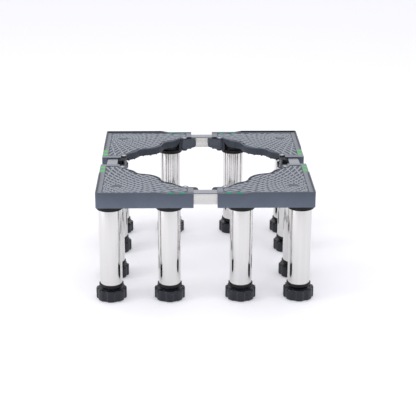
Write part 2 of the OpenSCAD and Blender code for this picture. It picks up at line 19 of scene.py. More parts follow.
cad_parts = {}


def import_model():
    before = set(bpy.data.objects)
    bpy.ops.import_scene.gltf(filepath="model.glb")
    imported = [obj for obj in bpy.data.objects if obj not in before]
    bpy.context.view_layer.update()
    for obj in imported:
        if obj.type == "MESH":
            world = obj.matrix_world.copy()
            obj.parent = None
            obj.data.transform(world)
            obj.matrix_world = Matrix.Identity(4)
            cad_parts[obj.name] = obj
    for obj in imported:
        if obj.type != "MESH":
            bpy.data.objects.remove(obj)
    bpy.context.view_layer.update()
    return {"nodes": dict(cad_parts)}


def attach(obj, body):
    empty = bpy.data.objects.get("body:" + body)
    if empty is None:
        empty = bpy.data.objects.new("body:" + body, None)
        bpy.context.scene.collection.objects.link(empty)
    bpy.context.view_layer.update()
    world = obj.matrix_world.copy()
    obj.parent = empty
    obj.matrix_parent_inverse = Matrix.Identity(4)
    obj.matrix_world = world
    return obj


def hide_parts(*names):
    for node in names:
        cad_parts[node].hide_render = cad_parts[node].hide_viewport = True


LOG = logging.getLogger("stand")
MM = 0.001
WELD = 0.001 * MM
Colour = tuple[float, float, float]
Place = tuple[float, float, float]


class Corner(Enum):
    """The corners of the stand: name, side signs, quarter turns and the names of three feet."""

    FRONT_LEFT = ("front_left", -1, -1, 0, ("front_1", "front_2", "left_1"))
    FRONT_RIGHT = ("front_right", 1, -1, 1, ("front_4", "right_1", "front_3"))
    BACK_RIGHT = ("back_right", 1, 1, 2, ("back_4", "back_3", "right_2"))
    BACK_LEFT = ("back_left", -1, 1, 3, ("back_1", "left_2", "back_2"))

    def __init__(self, label: str, side_x: int, side_y: int, turns: int, feet: tuple[str, str, str]) -> None:
        """Keeps the parts of the value under their names."""
        self.label = label
        self.side_x = side_x
        self.side_y = side_y
        self.turns = turns
        self.feet = feet


class Side(Enum):
    """The sides of the stand and the quarter turns of their tubes."""

    FRONT = 0
    RIGHT = 1
    BACK = 2
    LEFT = 3


@dataclass(frozen=True)
class StandSizes:
    """Sizes of the stand in millimetres, as in the part's source."""

    width: float = 476.0
    depth: float = 476.0
    tray_len: float = 212.0
    arm_w: float = 44.0
    end_flat: float = 16.0
    border_w: float = 13.0
    end_border: float = 12.5
    edge_lip: float = 2.0
    panel_depth: float = 0.6
    deck_top: float = 254.0
    deck_t: float = 2.4
    tray_z: float = 222.0
    rim_top: float = 257.0
    leg_inset: float = 29.0
    leg_end: float = 53.0
    pivot_end: float = 17.5
    pivot_b: float = 50.5
    ear_r: float = 6.5
    tube_inset: float = 25.5
    tube_mid_z: float = 238.3
    bare_at: tuple[float, float] = (44.0, 58.0)
    bare_half: tuple[float, float] = (12.0, 8.0)

    def leg_places(self) -> list[tuple[float, float]]:
        """Returns the plan places of a tray's corner, first arm and second arm legs."""
        arm = self.tray_len - self.leg_end
        return [(self.leg_inset, self.leg_inset), (arm, self.leg_inset), (self.leg_inset, arm)]


SIZES = StandSizes()


def turned(points: np.ndarray, quarter_turns: int) -> np.ndarray:
    """Turns points about Z: x' = x cos t - y sin t, y' = x sin t + y cos t, with t in quarter turns.

    Args:
        points: Array of places with three columns.
        quarter_turns: How many right angles to turn, anticlockwise from above.

    Returns:
        The turned places.
    """
    cos, sin = [(1, 0), (0, 1), (-1, 0), (0, -1)][quarter_turns % 4]
    x, y, z = points[..., 0], points[..., 1], points[..., 2]
    return np.stack([x * cos - y * sin, x * sin + y * cos, z], axis=-1)


def at_corner(points: np.ndarray, corner: Corner) -> np.ndarray:
    """Moves places from a tray's own frame, with its outer corner at the origin, to the stand.

    Args:
        points: Places in millimetres, with three columns.
        corner: The tray's corner.

    Returns:
        Places in the stand's frame, still in millimetres.
    """
    origin = np.array([corner.side_x * SIZES.width / 2, corner.side_y * SIZES.depth / 2, 0.0])
    return turned(points, corner.turns) + origin


@dataclass
class Surface:
    """A mesh of quads held as two arrays."""

    places: np.ndarray
    faces: np.ndarray

    @staticmethod
    def from_grid(grid: np.ndarray, close_rows: bool = False, close_columns: bool = False) -> "Surface":
        """Joins a grid of places to quads: cell (i, j) has corners (i, j), (i+1, j), (i+1, j+1), (i, j+1).

        Args:
            grid: Places by row and column, with three coordinates each.
            close_rows: Joins the last row to the first.
            close_columns: Joins the last column to the first.

        Returns:
            The surface.
        """
        rows, columns = grid.shape[:2]
        index = np.arange(rows * columns).reshape(rows, columns)
        if close_rows:
            index = np.concatenate([index, index[:1]], axis=0)
        if close_columns:
            index = np.concatenate([index, index[:, :1]], axis=1)
        quads = np.stack([index[:-1, :-1], index[1:, :-1], index[1:, 1:], index[:-1, 1:]], axis=-1)
        return Surface(grid.reshape(-1, 3), quads.reshape(-1, 4))

    @staticmethod
    def joined(surfaces: Sequence["Surface"]) -> "Surface":
        """Returns several surfaces as one, without welding them."""
        counts = np.cumsum([0] + [len(surface.places) for surface in surfaces])
        faces = [surface.faces + start for surface, start in zip(surfaces, counts)]
        return Surface(np.concatenate([surface.places for surface in surfaces]), np.concatenate(faces))

    def moved(self, offset: Sequence[float]) -> "Surface":
        """Returns the surface moved by an offset in millimetres."""
        return Surface(self.places + np.asarray(offset, dtype=float), self.faces)


def revolved(profile: np.ndarray, segments: int) -> Surface:
    """Turns a profile about Z: place = (r cos t, r sin t, z), with t from 0 to a full turn.

    Args:
        profile: Radius and height of each point. Where both ends lie on the axis it runs from pole to
            pole, and otherwise its last point is joined to its first.
        segments: Number of steps round the axis.

    Returns:
        A surface without gaps once its doubles are merged.
    """
    turn = np.linspace(0.0, 2.0 * math.pi, segments, endpoint=False)
    radius = profile[:, 0][:, None]
    height = np.repeat(profile[:, 1][:, None], segments, axis=1)
    grid = np.stack([radius * np.cos(turn), radius * np.sin(turn), height], axis=-1)
    poles = profile[0, 0] == 0.0 and profile[-1, 0] == 0.0
    return Surface.from_grid(grid, close_rows=not poles, close_columns=True)


def rounded_profile(corners: Sequence[tuple[float, float, float]], steps: int = 5) -> np.ndarray:
    """Rounds the corners of an outline with quadratic curves.

    A corner c with radius r, between unit directions u towards the point before and w towards the point
    after, becomes c + r ((1 - t)^2 u + t^2 w), t from 0 to 1.

    Args:
        corners: Two coordinates and a rounding radius for each corner, in order round the outline.
        steps: Points on each rounded corner.

    Returns:
        The rounded outline, with two columns.
    """
    points = np.array([corner[:2] for corner in corners])
    before = np.roll(points, 1, axis=0) - points
    after = np.roll(points, -1, axis=0) - points
    before /= np.linalg.norm(before, axis=1, keepdims=True)
    after /= np.linalg.norm(after, axis=1, keepdims=True)
    outline = []
    for point, back, ahead, (_, _, radius) in zip(points, before, after, corners):
        t = np.linspace(0.0, 1.0, steps)[:, None] if radius > 0 else np.zeros((1, 1))
        outline.append(point + radius * ((1 - t) ** 2 * back + t**2 * ahead))
    return np.concatenate(outline)


def add_piece(name: str, surface: Surface, material: bpy.types.Material, body: str,
              replaced: Sequence[str] = (), sharp_over: float = 32.0) -> bpy.types.Object:
    """Makes an object from a surface and ties it to a body of the frame.

    Args:
        name: Name of the piece.
        surface: Its surface, in millimetres and in the stand's frame.
        material: Its finish.
        body: The CAD body that it rides on.
        replaced: CAD nodes that it stands for.
        sharp_over: Edges with a larger angle than this stay sharp, in degrees.

    Returns:
        The new object, at the origin.
    """
    mesh = bpy.data.meshes.new(name)
    mesh.from_pydata((surface.places * MM).tolist(), [], surface.faces.tolist())
    shell = bmesh.new()
    shell.from_mesh(mesh)
    bmesh.ops.remove_doubles(shell, verts=shell.verts[:], dist=WELD)
    bmesh.ops.recalc_face_normals(shell, faces=shell.faces[:])
    shell.to_mesh(mesh)
    shell.free()
    mesh.polygons.foreach_set("use_smooth", np.ones(len(mesh.polygons), dtype=bool))
    mesh.set_sharp_from_angle(angle=math.radians(sharp_over))
    mesh.materials.append(material)
    piece = bpy.data.objects.new(name, mesh)
    bpy.context.scene.collection.objects.link(piece)
    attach(piece, body)
    if replaced:
        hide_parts(*replaced)
    LOG.info("%s: %d faces, rides on %s", name, len(mesh.polygons), body)
    return piece


class Graph:
    """Adds nodes to one node tree and links them."""

    def __init__(self, tree: bpy.types.NodeTree) -> None:
        """Keeps the tree that the nodes go into."""
        self.tree = tree

    def add(self, kind: str, inputs: dict[str, object] | None = None, **settings: object) -> bpy.types.Node:
        """Adds one node.

        Args:
            kind: Blender's name for the node type.
            inputs: Values or output sockets for its inputs, by the input's name.
            **settings: Properties to set on the node.

        Returns:
            The new node.
        """
        node = self.tree.nodes.new(kind)
        for key, value in settings.items():
            setattr(node, key, value)
        for key, value in (inputs or {}).items():
            self.feed(node, key, value)
        return node

    def feed(self, node: bpy.types.Node, key: str | int, value: object) -> None:
        """Sets an input of a node to a value, or links an output socket to it."""
        if isinstance(value, bpy.types.NodeSocket):
            self.tree.links.new(value, node.inputs[key])
        else:
            node.inputs[key].default_value = value

    def math(self, operation: str, *values: object) -> bpy.types.NodeSocket:
        """Returns the result of a maths node on one to three values or sockets."""
        node = self.add("ShaderNodeMath", operation=operation)
        for index, value in enumerate(values):
            self.feed(node, index, value)
        return node.outputs[0]

    def ranged(self, value: object, low: float, high: float, to_low: float, to_high: float,
               smooth: bool = False) -> bpy.types.NodeSocket:
        """Maps a value from one range to another, clamped, and smoothed at both ends where asked."""
        node = self.add("ShaderNodeMapRange", {"Value": value, "From Min": low, "From Max": high,
                                               "To Min": to_low, "To Max": to_high})
        node.interpolation_type = "SMOOTHSTEP" if smooth else "LINEAR"
        return node.outputs["Result"]

    def blend(self, factor: object, first: object, second: object,
              mode: str = "MIX") -> bpy.types.NodeSocket:
        """Mixes two colours by a factor and returns the mixed colour."""
        node = self.add("ShaderNodeMix", data_type="RGBA", blend_type=mode)
        for index, value in ((0, factor), (6, first), (7, second)):
            value = (*value, 1.0) if isinstance(value, tuple) and len(value) == 3 else value
            self.feed(node, index, value)
        return node.outputs[2]

    def noise(self, vector: bpy.types.NodeSocket, scale: object, detail: float = 2.0,
              roughness: float = 0.5) -> bpy.types.NodeSocket:
        """Returns the value of a noise texture at a place."""
        node = self.add("ShaderNodeTexNoise", {"Vector": vector, "Scale": scale, "Detail": detail,
                                               "Roughness": roughness})
        return node.outputs["Fac"]

    def object_axes(self) -> bpy.types.NodeOutputs:
        """Returns the three coordinates of a place on the object."""
        place = self.add("ShaderNodeTexCoord").outputs["Object"]
        return self.add("ShaderNodeSeparateXYZ", {0: place}).outputs

    def upward(self) -> bpy.types.NodeSocket:
        """Returns a mask of the faces that look up."""
        return self.ranged(self.steepness(), 0.6, 0.9, 0.0, 1.0)

    def steepness(self) -> bpy.types.NodeSocket:
        """Returns how much a face looks up, from -1 to 1."""
        normal = self.add("ShaderNodeNewGeometry").outputs["Normal"]
        return self.add("ShaderNodeSeparateXYZ", {0: normal}).outputs["Z"]

    def bump(self, height: bpy.types.NodeSocket, depth: float,
             normal: bpy.types.NodeSocket) -> bpy.types.NodeSocket:
        """Returns a normal raised by a height of 0 to 1 over a depth in millimetres."""
        node = self.add("ShaderNodeBump", {"Strength": 1.0, "Distance": depth * MM, "Height": height,
                                           "Normal": normal})
        return node.outputs["Normal"]

    def group(self, tree: bpy.types.NodeTree, **inputs: object) -> bpy.types.Node:
        """Places a node group and feeds its inputs, with underscores in their names read as spaces."""
        node = self.add("ShaderNodeGroup", node_tree=tree)
        for key, value in inputs.items():
            self.feed(node, key.replace("_", " "), value)
        return node


class SocketKind(Enum):
    """The kinds of socket that the node groups use."""

    VALUE = "NodeSocketFloat"
    VECTOR = "NodeSocketVector"


def new_group(name: str, inputs: dict[str, SocketKind], outputs: dict[str, SocketKind]
              ) -> tuple[Graph, bpy.types.Node, bpy.types.Node]:
    """Makes an empty node group with named sockets.

    Args:
        name: Name of the group.
        inputs: Its inputs in order.
        outputs: Its outputs in order.

    Returns:
        The group's graph, its input node and its output node.
    """
    tree = bpy.data.node_groups.new(name, "ShaderNodeTree")
    for key, kind in inputs.items():
        tree.interface.new_socket(name=key, in_out="INPUT", socket_type=kind.value)
    for key, kind in outputs.items():
        tree.interface.new_socket(name=key, in_out="OUTPUT", socket_type=kind.value)
    graph = Graph(tree)
    return graph, graph.add("NodeGroupInput"), graph.add("NodeGroupOutput")


@dataclass(frozen=True)
class EffectScales:
    """Scales of the noises in the shared node groups, per metre, or as shares of another scale."""

    coarse_share: float = 0.31
    fine_weight: float = 0.7
    patches: float = 160.0
    specks: float = 900.0
    broad_share: float = 0.12
    smudges: float = 38.0


SCALES = EffectScales()


class Effects:
    """The shader node groups that several finishes share."""

    def __init__(self) -> None:
        """Builds each group once."""
        self.grain = self.build_grain()
        self.rounding = self.build_rounding()
        self.dust = self.build_dust()
        self.lines = self.build_lines()

    @staticmethod
    def build_grain() -> bpy.types.NodeTree:
        """Makes the fine eroded texture of a mould and the slow cloudiness of the plastic under it."""
        graph, given, result = new_group(
            "moulded_grain",
            {"Scale": SocketKind.VALUE, "Cloud Scale": SocketKind.VALUE},
            {"Height": SocketKind.VALUE, "Cloud": SocketKind.VALUE},
        )
        place = graph.add("ShaderNodeTexCoord").outputs["Object"]
        fine = graph.noise(place, given.outputs["Scale"], 3.0, 0.6)
        coarse_scale = graph.math("MULTIPLY", given.outputs["Scale"], SCALES.coarse_share)
        coarse = graph.math("MULTIPLY", graph.noise(place, coarse_scale, 1.0), 1.0 - SCALES.fine_weight)
        height = graph.math("MULTIPLY_ADD", fine, SCALES.fine_weight, coarse)
        cloud = graph.noise(place, given.outputs["Cloud Scale"], 3.0, 0.55)
        graph.feed(result, "Height", height)
        graph.feed(result, "Cloud", graph.ranged(cloud, 0.3, 0.7, 0.0, 1.0, smooth=True))
        return graph.tree

    @staticmethod
    def build_rounding() -> bpy.types.NodeTree:
        """Makes the soft edge that a mould or a file leaves, and a mask along it for wear, which some
        finishes also use to paint highlights and shade along their edges.
        """
        graph, given, result = new_group(
            "soft_edges",
            {"Radius": SocketKind.VALUE, "Patchiness": SocketKind.VALUE},
            {"Normal": SocketKind.VECTOR, "Wear": SocketKind.VALUE},
        )
        soft = graph.add("ShaderNodeBevel", {"Radius": given.outputs["Radius"]}, samples=6)
        plain = graph.add("ShaderNodeNewGeometry").outputs["Normal"]
        agree = graph.add("ShaderNodeVectorMath", {0: soft.outputs["Normal"], 1: plain},
                          operation="DOT_PRODUCT")
        edge = graph.ranged(agree.outputs["Value"], 0.80, 0.995, 1.0, 0.0)
        place = graph.add("ShaderNodeTexCoord").outputs["Object"]
        patches = graph.noise(place, SCALES.patches, 4.0, 0.6)
        patches = graph.ranged(patches, 0.38, 0.62, 0.0, 1.0, smooth=True)
        missing = graph.math("SUBTRACT", patches, 1.0)
        kept = graph.math("MULTIPLY_ADD", missing, given.outputs["Patchiness"], 1.0)
        graph.feed(result, "Normal", soft.outputs["Normal"])
        graph.feed(result, "Wear", graph.math("MULTIPLY", edge, kept))
        return graph.tree

    @staticmethod
    def build_dust() -> bpy.types.NodeTree:
        """Makes the thin dust that settles on level faces, in drifts."""
        graph, given, result = new_group("settled_dust", {"Drift Scale": SocketKind.VALUE},
                                         {"Mask": SocketKind.VALUE})
        place = graph.add("ShaderNodeTexCoord").outputs["Object"]
        level = graph.ranged(graph.steepness(), 0.5, 1.0, 0.0, 1.0, smooth=True)
        drift = graph.noise(place, given.outputs["Drift Scale"], 5.0, 0.65)
        drift = graph.ranged(drift, 0.35, 0.75, 0.15, 1.0)
        speck = graph.ranged(graph.noise(place, SCALES.specks, 1.0), 0.62, 0.74, 0.0, 1.0)
        graph.feed(result, "Mask", graph.math("MULTIPLY", level, graph.math("MAXIMUM", drift, speck)))
        return graph.tree

    @staticmethod
    def build_lines() -> bpy.types.NodeTree:
        """Makes the long fine lines that drawing or polishing leaves along a metal piece."""
        graph, given, result = new_group(
            "drawn_lines",
            {"Stretch": SocketKind.VECTOR, "Scale": SocketKind.VALUE},
            {"Height": SocketKind.VALUE, "Shade": SocketKind.VALUE, "Smudge": SocketKind.VALUE},
        )
        place = graph.add("ShaderNodeTexCoord").outputs["Object"]
        drawn = graph.add("ShaderNodeVectorMath", {0: place, 1: given.outputs["Stretch"]},
                          operation="MULTIPLY")
        fine = graph.noise(drawn.outputs[0], given.outputs["Scale"], 4.0, 0.7)
        broad_scale = graph.math("MULTIPLY", given.outputs["Scale"], SCALES.broad_share)
        broad = graph.noise(drawn.outputs[0], broad_scale, 2.0)
        smudge = graph.noise(place, SCALES.smudges, 4.0, 0.6)
        graph.feed(result, "Height", fine)
        half_broad = graph.math("MULTIPLY", broad, 0.5)
        graph.feed(result, "Shade", graph.math("MULTIPLY_ADD", fine, 0.5, half_broad))
        graph.feed(result, "Smudge", graph.ranged(smudge, 0.45, 0.75, 0.0, 1.0, smooth=True))
        return graph.tree


def new_material(name: str) -> tuple[bpy.types.Material, Graph, bpy.types.Node]:
    """Makes an empty material with one Principled shader.

    Args:
        name: Name of the material.

    Returns:
        The material, its graph and its shader node.
    """
    material = bpy.data.materials.new(name)
    material.use_nodes = True
    material.node_tree.nodes.clear()
    graph = Graph(material.node_tree)
    shader = graph.add("ShaderNodeBsdfPrincipled")
    graph.add("ShaderNodeOutputMaterial", {"Surface": shader.outputs["BSDF"]})
    return material, graph, shader


@dataclass(frozen=True)
class PlasticFinish:
    """A moulded plastic or rubber with eroded grain, soft edges, wear and a little dust. On some finishes
    the edge colour also paints highlights and shade.

    Level faces are multiplied by level_shade, since the light that they mirror is dimmer in the photograph.
    """

    name: str
    colour: Colour
    cloud_colour: Colour
    edge_wear_and_light_colour: Colour
    dust_colour: Colour
    roughness: float
    cloud_roughness: float
    grain_depth: float
    wear: float
    dust: float
    grain_scale: float = 1500.0
    edge_radius: float = 0.6
    sheen_level: float = 0.5
    level_shade: float = 1.0
    cloud_scale: float = 24.0
    patchiness: float = 0.6
    drift_scale: float = 30.0
    dust_roughness: float = 0.12

    def tone(self, graph: Graph, cloud: bpy.types.NodeSocket) -> bpy.types.NodeSocket:
        """Gives the plastic's colour, with painted shade on level faces when level_shade is below one,
        before wear and dust.

        Args:
            graph: The material's graph.
            cloud: The slow cloudiness, from 0 to 1.

        Returns:
            The colour.
        """
        clouded = graph.blend(cloud, self.colour, self.cloud_colour)
        return graph.blend(graph.upward(), clouded, (self.level_shade,) * 3, "MULTIPLY")

    def material(self, effects: Effects) -> bpy.types.Material:
        """Builds the material from the shared effects.

        Args:
            effects: The shared node groups.

        Returns:
            The material.
        """
        material, graph, shader = new_material(self.name)
        grain = graph.group(effects.grain, Scale=self.grain_scale, Cloud_Scale=self.cloud_scale)
        edges = graph.group(effects.rounding, Radius=self.edge_radius * MM, Patchiness=self.patchiness)
        dust = graph.group(effects.dust, Drift_Scale=self.drift_scale)
        wear = graph.math("MULTIPLY", edges.outputs["Wear"], self.wear)
        worn = graph.blend(wear, self.tone(graph, grain.outputs["Cloud"]), self.edge_wear_and_light_colour)
        dusted = graph.blend(graph.math("MULTIPLY", dust.outputs["Mask"], self.dust), worn, self.dust_colour)
        rough = graph.ranged(grain.outputs["Cloud"], 0.0, 1.0, self.roughness, self.cloud_roughness)
        rough = graph.math("MULTIPLY_ADD", dust.outputs["Mask"], self.dust_roughness * self.dust, rough)
        bump = graph.bump(grain.outputs["Height"], self.grain_depth, edges.outputs["Normal"])
        graph.feed(shader, "Base Color", dusted)
        graph.feed(shader, "Roughness", rough)
        graph.feed(shader, "Normal", bump)
        graph.feed(shader, "Specular IOR Level", self.sheen_level)
        return material


@dataclass(frozen=True)
class TrayFinish(PlasticFinish):
    """The trays' plastic, with painted shade on the grip panels, the sides, the rims and inside.

    Along the front and the back the deck's border gets painted shade, darker towards the foot of the rim.
    The grip panels get painted shade as of a ditch beside their borders and at the ends of the side arms.
    """

    panel_painted_shade: Colour = (0.064, 0.076, 0.104)
    side_painted_shade: Colour = (0.119, 0.143, 0.191)
    side_top_painted_shade: Colour = (0.080, 0.096, 0.130)
    under_deck_painted_shade: Colour = (0.042, 0.050, 0.068)
    rim_top_painted_shade: Colour = (0.085, 0.099, 0.129)
    rim_inner_painted_shade: Colour = (0.006, 0.012, 0.022)
    ditch_painted_shade: Colour = (0.012, 0.015, 0.022)
    bare_painted_shade: Colour = (0.096, 0.108, 0.138)
    height_slack: float = 0.3
    wall_w: float = 1.6
    end_slack: float = 1.0
    ditch_shade_w: float = 0.8
    end_ditch_shade_w: float = 3.0
    rim_foot_shade_reach: tuple[float, float] = (3.0, 20.0)
    rim_foot_painted_shade: float = 0.35
    cloud_range: tuple[float, float] = (0.94, 1.06)

    def tone(self, graph: Graph, cloud: bpy.types.NodeSocket) -> bpy.types.NodeSocket:
        """Picks the tone by the place in the tray: its height, its facing and its distance from the sides,
        and so paints shade on the walls, the rims, the panels and under the deck.

        Args:
            graph: The material's graph.
            cloud: The slow cloudiness, from 0 to 1.

        Returns:
            The colour.
        """
        axes = graph.object_axes()
        half = (SIZES.width / 2 * MM, SIZES.depth / 2 * MM)
        insets = [graph.math("SUBTRACT", reach, graph.math("ABSOLUTE", axes[axis]))
                  for axis, reach in enumerate(half)]
        near = graph.math("MINIMUM", *insets)
        far = graph.math("MAXIMUM", *insets)
        height = axes[2]
        up = graph.upward()
        under = graph.math("LESS_THAN", height, (SIZES.deck_top - SIZES.deck_t + self.height_slack) * MM)
        over = graph.math("GREATER_THAN", height, (SIZES.deck_top + self.height_slack) * MM)
        sunk = graph.math("LESS_THAN", height, (SIZES.deck_top - SIZES.panel_depth / 2) * MM)
        rim_side = graph.math("MULTIPLY", over, graph.math("SUBTRACT", 1.0, up))
        inside = graph.math("MULTIPLY", graph.math("GREATER_THAN", near, self.wall_w * MM),
                            graph.math("LESS_THAN", far, (SIZES.tray_len - self.end_slack) * MM))
        # Painted shade under the deck, inside the tray, where shade falls.
        inner = graph.math("MULTIPLY", inside, under)
        # Painted shade, near black, on the rim's inner sides.
        rim_inner = graph.math("MULTIPLY", inside, rim_side)
        # Painted shade: the walls are darker than the deck, and darker still towards their top.
        rise = graph.ranged(height, SIZES.tray_z * MM, SIZES.rim_top * MM, 0.0, 1.0)
        tone = graph.blend(rise, self.side_painted_shade, self.side_top_painted_shade)
        # Painted shade on the deck's border along the front and the back, darkest at the foot of the rim.
        across = graph.math("LESS_THAN", insets[1], insets[0])
        start, end = (reach * MM for reach in self.rim_foot_shade_reach)
        shade = graph.ranged(insets[1], start, end, self.rim_foot_painted_shade, 1.0)
        shade = graph.blend(across, (1.0,) * 3, graph.blend(shade, (0.0,) * 3, (1.0,) * 3))
        border = graph.blend(1.0, self.colour, shade, "MULTIPLY")
        # Painted shade as of a ditch beside the panel's borders and at the ends of the side arms; the whole
        # panel between the ridges is painted shade as well.
        beside = graph.math("LESS_THAN", near, (SIZES.border_w + self.ditch_shade_w) * MM)
        end = SIZES.tray_len - SIZES.end_border - self.end_ditch_shade_w
        ditch = graph.math("MAXIMUM", beside, graph.math("GREATER_THAN", insets[1], end * MM))
        panel = graph.blend(ditch, self.panel_painted_shade, self.ditch_painted_shade)
        # The bare oval gets a painted shade that stands in for the shade of the lettering left out there.
        panel = graph.blend(self.bare_place(graph, insets), panel, self.bare_painted_shade)
        # Rim tops get a painted shade, darker than the deck.
        level = graph.blend(over, graph.blend(sunk, border, panel), self.rim_top_painted_shade)
        tone = graph.blend(up, tone, level)
        tone = graph.blend(inner, tone, self.under_deck_painted_shade)
        tone = graph.blend(rim_inner, tone, self.rim_inner_painted_shade)
        low, high = self.cloud_range
        return graph.blend(1.0, tone, graph.blend(cloud, (low,) * 3, (high,) * 3), "MULTIPLY")

    @staticmethod
    def bare_place(graph: Graph, insets: Sequence[bpy.types.NodeSocket]) -> bpy.types.NodeSocket:
        """Masks the oval that the grip pattern leaves bare: ((x - a) / c)^4 + ((y - b) / d)^4 < 1.

        Args:
            graph: The material's graph.
            insets: Distances from the stand's sides, across and in depth.

        Returns:
            1 on the oval and 0 around it.
        """
        terms = []
        for inset, middle, half in zip(insets, SIZES.bare_at, SIZES.bare_half):
            off = graph.math("ABSOLUTE", graph.math("SUBTRACT", inset, middle * MM))
            terms.append(graph.math("POWER", graph.math("DIVIDE", off, half * MM), 4.0))
        return graph.math("LESS_THAN", graph.math("ADD", *terms), 1.0)


@dataclass(frozen=True)
class MarkFinish(PlasticFinish):
    """The marks' print, with painted shade that makes it a deeper, bluer green along the front and the back
    of the stand.
    """

    front_back_painted_shade: Colour = (0.010, 0.250, 0.155)

    def tone(self, graph: Graph, cloud: bpy.types.NodeSocket) -> bpy.types.NodeSocket:
        """Picks the green by the side that a mark lies along, with painted shade on the marks along the
        front and the back.

        Args:
            graph: The material's graph.
            cloud: The slow cloudiness, from 0 to 1.

        Returns:
            The colour.
        """
        axes = graph.object_axes()
        along = [graph.math("ABSOLUTE", axes[axis]) for axis in (1, 0)]
        clouded = graph.blend(cloud, self.colour, self.cloud_colour)
        return graph.blend(graph.math("GREATER_THAN", *along), clouded, self.front_back_painted_shade)


@dataclass(frozen=True)
class MetalFinish:
    """A bare metal with lines along one direction, faint smudges and soft edges.

    Level faces are multiplied by a painted pale reflection, and the rounded upper corners by a painted dark
    reflection.
    """

    name: str
    colour: Colour
    line_colour: Colour
    roughness: float
    line_roughness: float
    stretch: tuple[float, float, float]
    line_scale: float
    line_depth: float
    edge_radius: float = 0.3
    level_painted_reflection: Colour = (1.0, 1.0, 1.0)
    corner_painted_reflection: Colour = (1.0, 1.0, 1.0)
    corner_from: tuple[float, float] = (0.15, 0.35)
    corner_to: tuple[float, float] = (0.85, 0.97)
    smudge_roughness: float = 0.05

    def material(self, effects: Effects) -> bpy.types.Material:
        """Builds the material from the shared effects.

        Args:
            effects: The shared node groups.

        Returns:
            The material.
        """
        material, graph, shader = new_material(self.name)
        lines = graph.group(effects.lines, Stretch=self.stretch, Scale=self.line_scale)
        edges = graph.group(effects.rounding, Radius=self.edge_radius * MM, Patchiness=0.0)
        shade = graph.ranged(lines.outputs["Shade"], 0.35, 0.65, 0.0, 1.0)
        tint = graph.blend(shade, self.colour, self.line_colour)
        # Painted reflection: a pale tint on level faces and a dark tint on the rounded upper corners.
        tint = graph.blend(graph.upward(), tint, self.level_painted_reflection, "MULTIPLY")
        steep = graph.steepness()
        corner = graph.math("MULTIPLY", graph.ranged(steep, *self.corner_from, 0.0, 1.0),
                            graph.ranged(steep, *self.corner_to, 1.0, 0.0))
        tint = graph.blend(corner, tint, self.corner_painted_reflection, "MULTIPLY")
        rough = graph.ranged(shade, 0.0, 1.0, self.roughness, self.line_roughness)
        rough = graph.math("MULTIPLY_ADD", lines.outputs["Smudge"], self.smudge_roughness, rough)
        bump = graph.bump(lines.outputs["Height"], self.line_depth, edges.outputs["Normal"])
        graph.feed(shader, "Base Color", tint)
        graph.feed(shader, "Roughness", rough)
        graph.feed(shader, "Normal", bump)
        graph.feed(shader, "Metallic", 1.0)
        return material


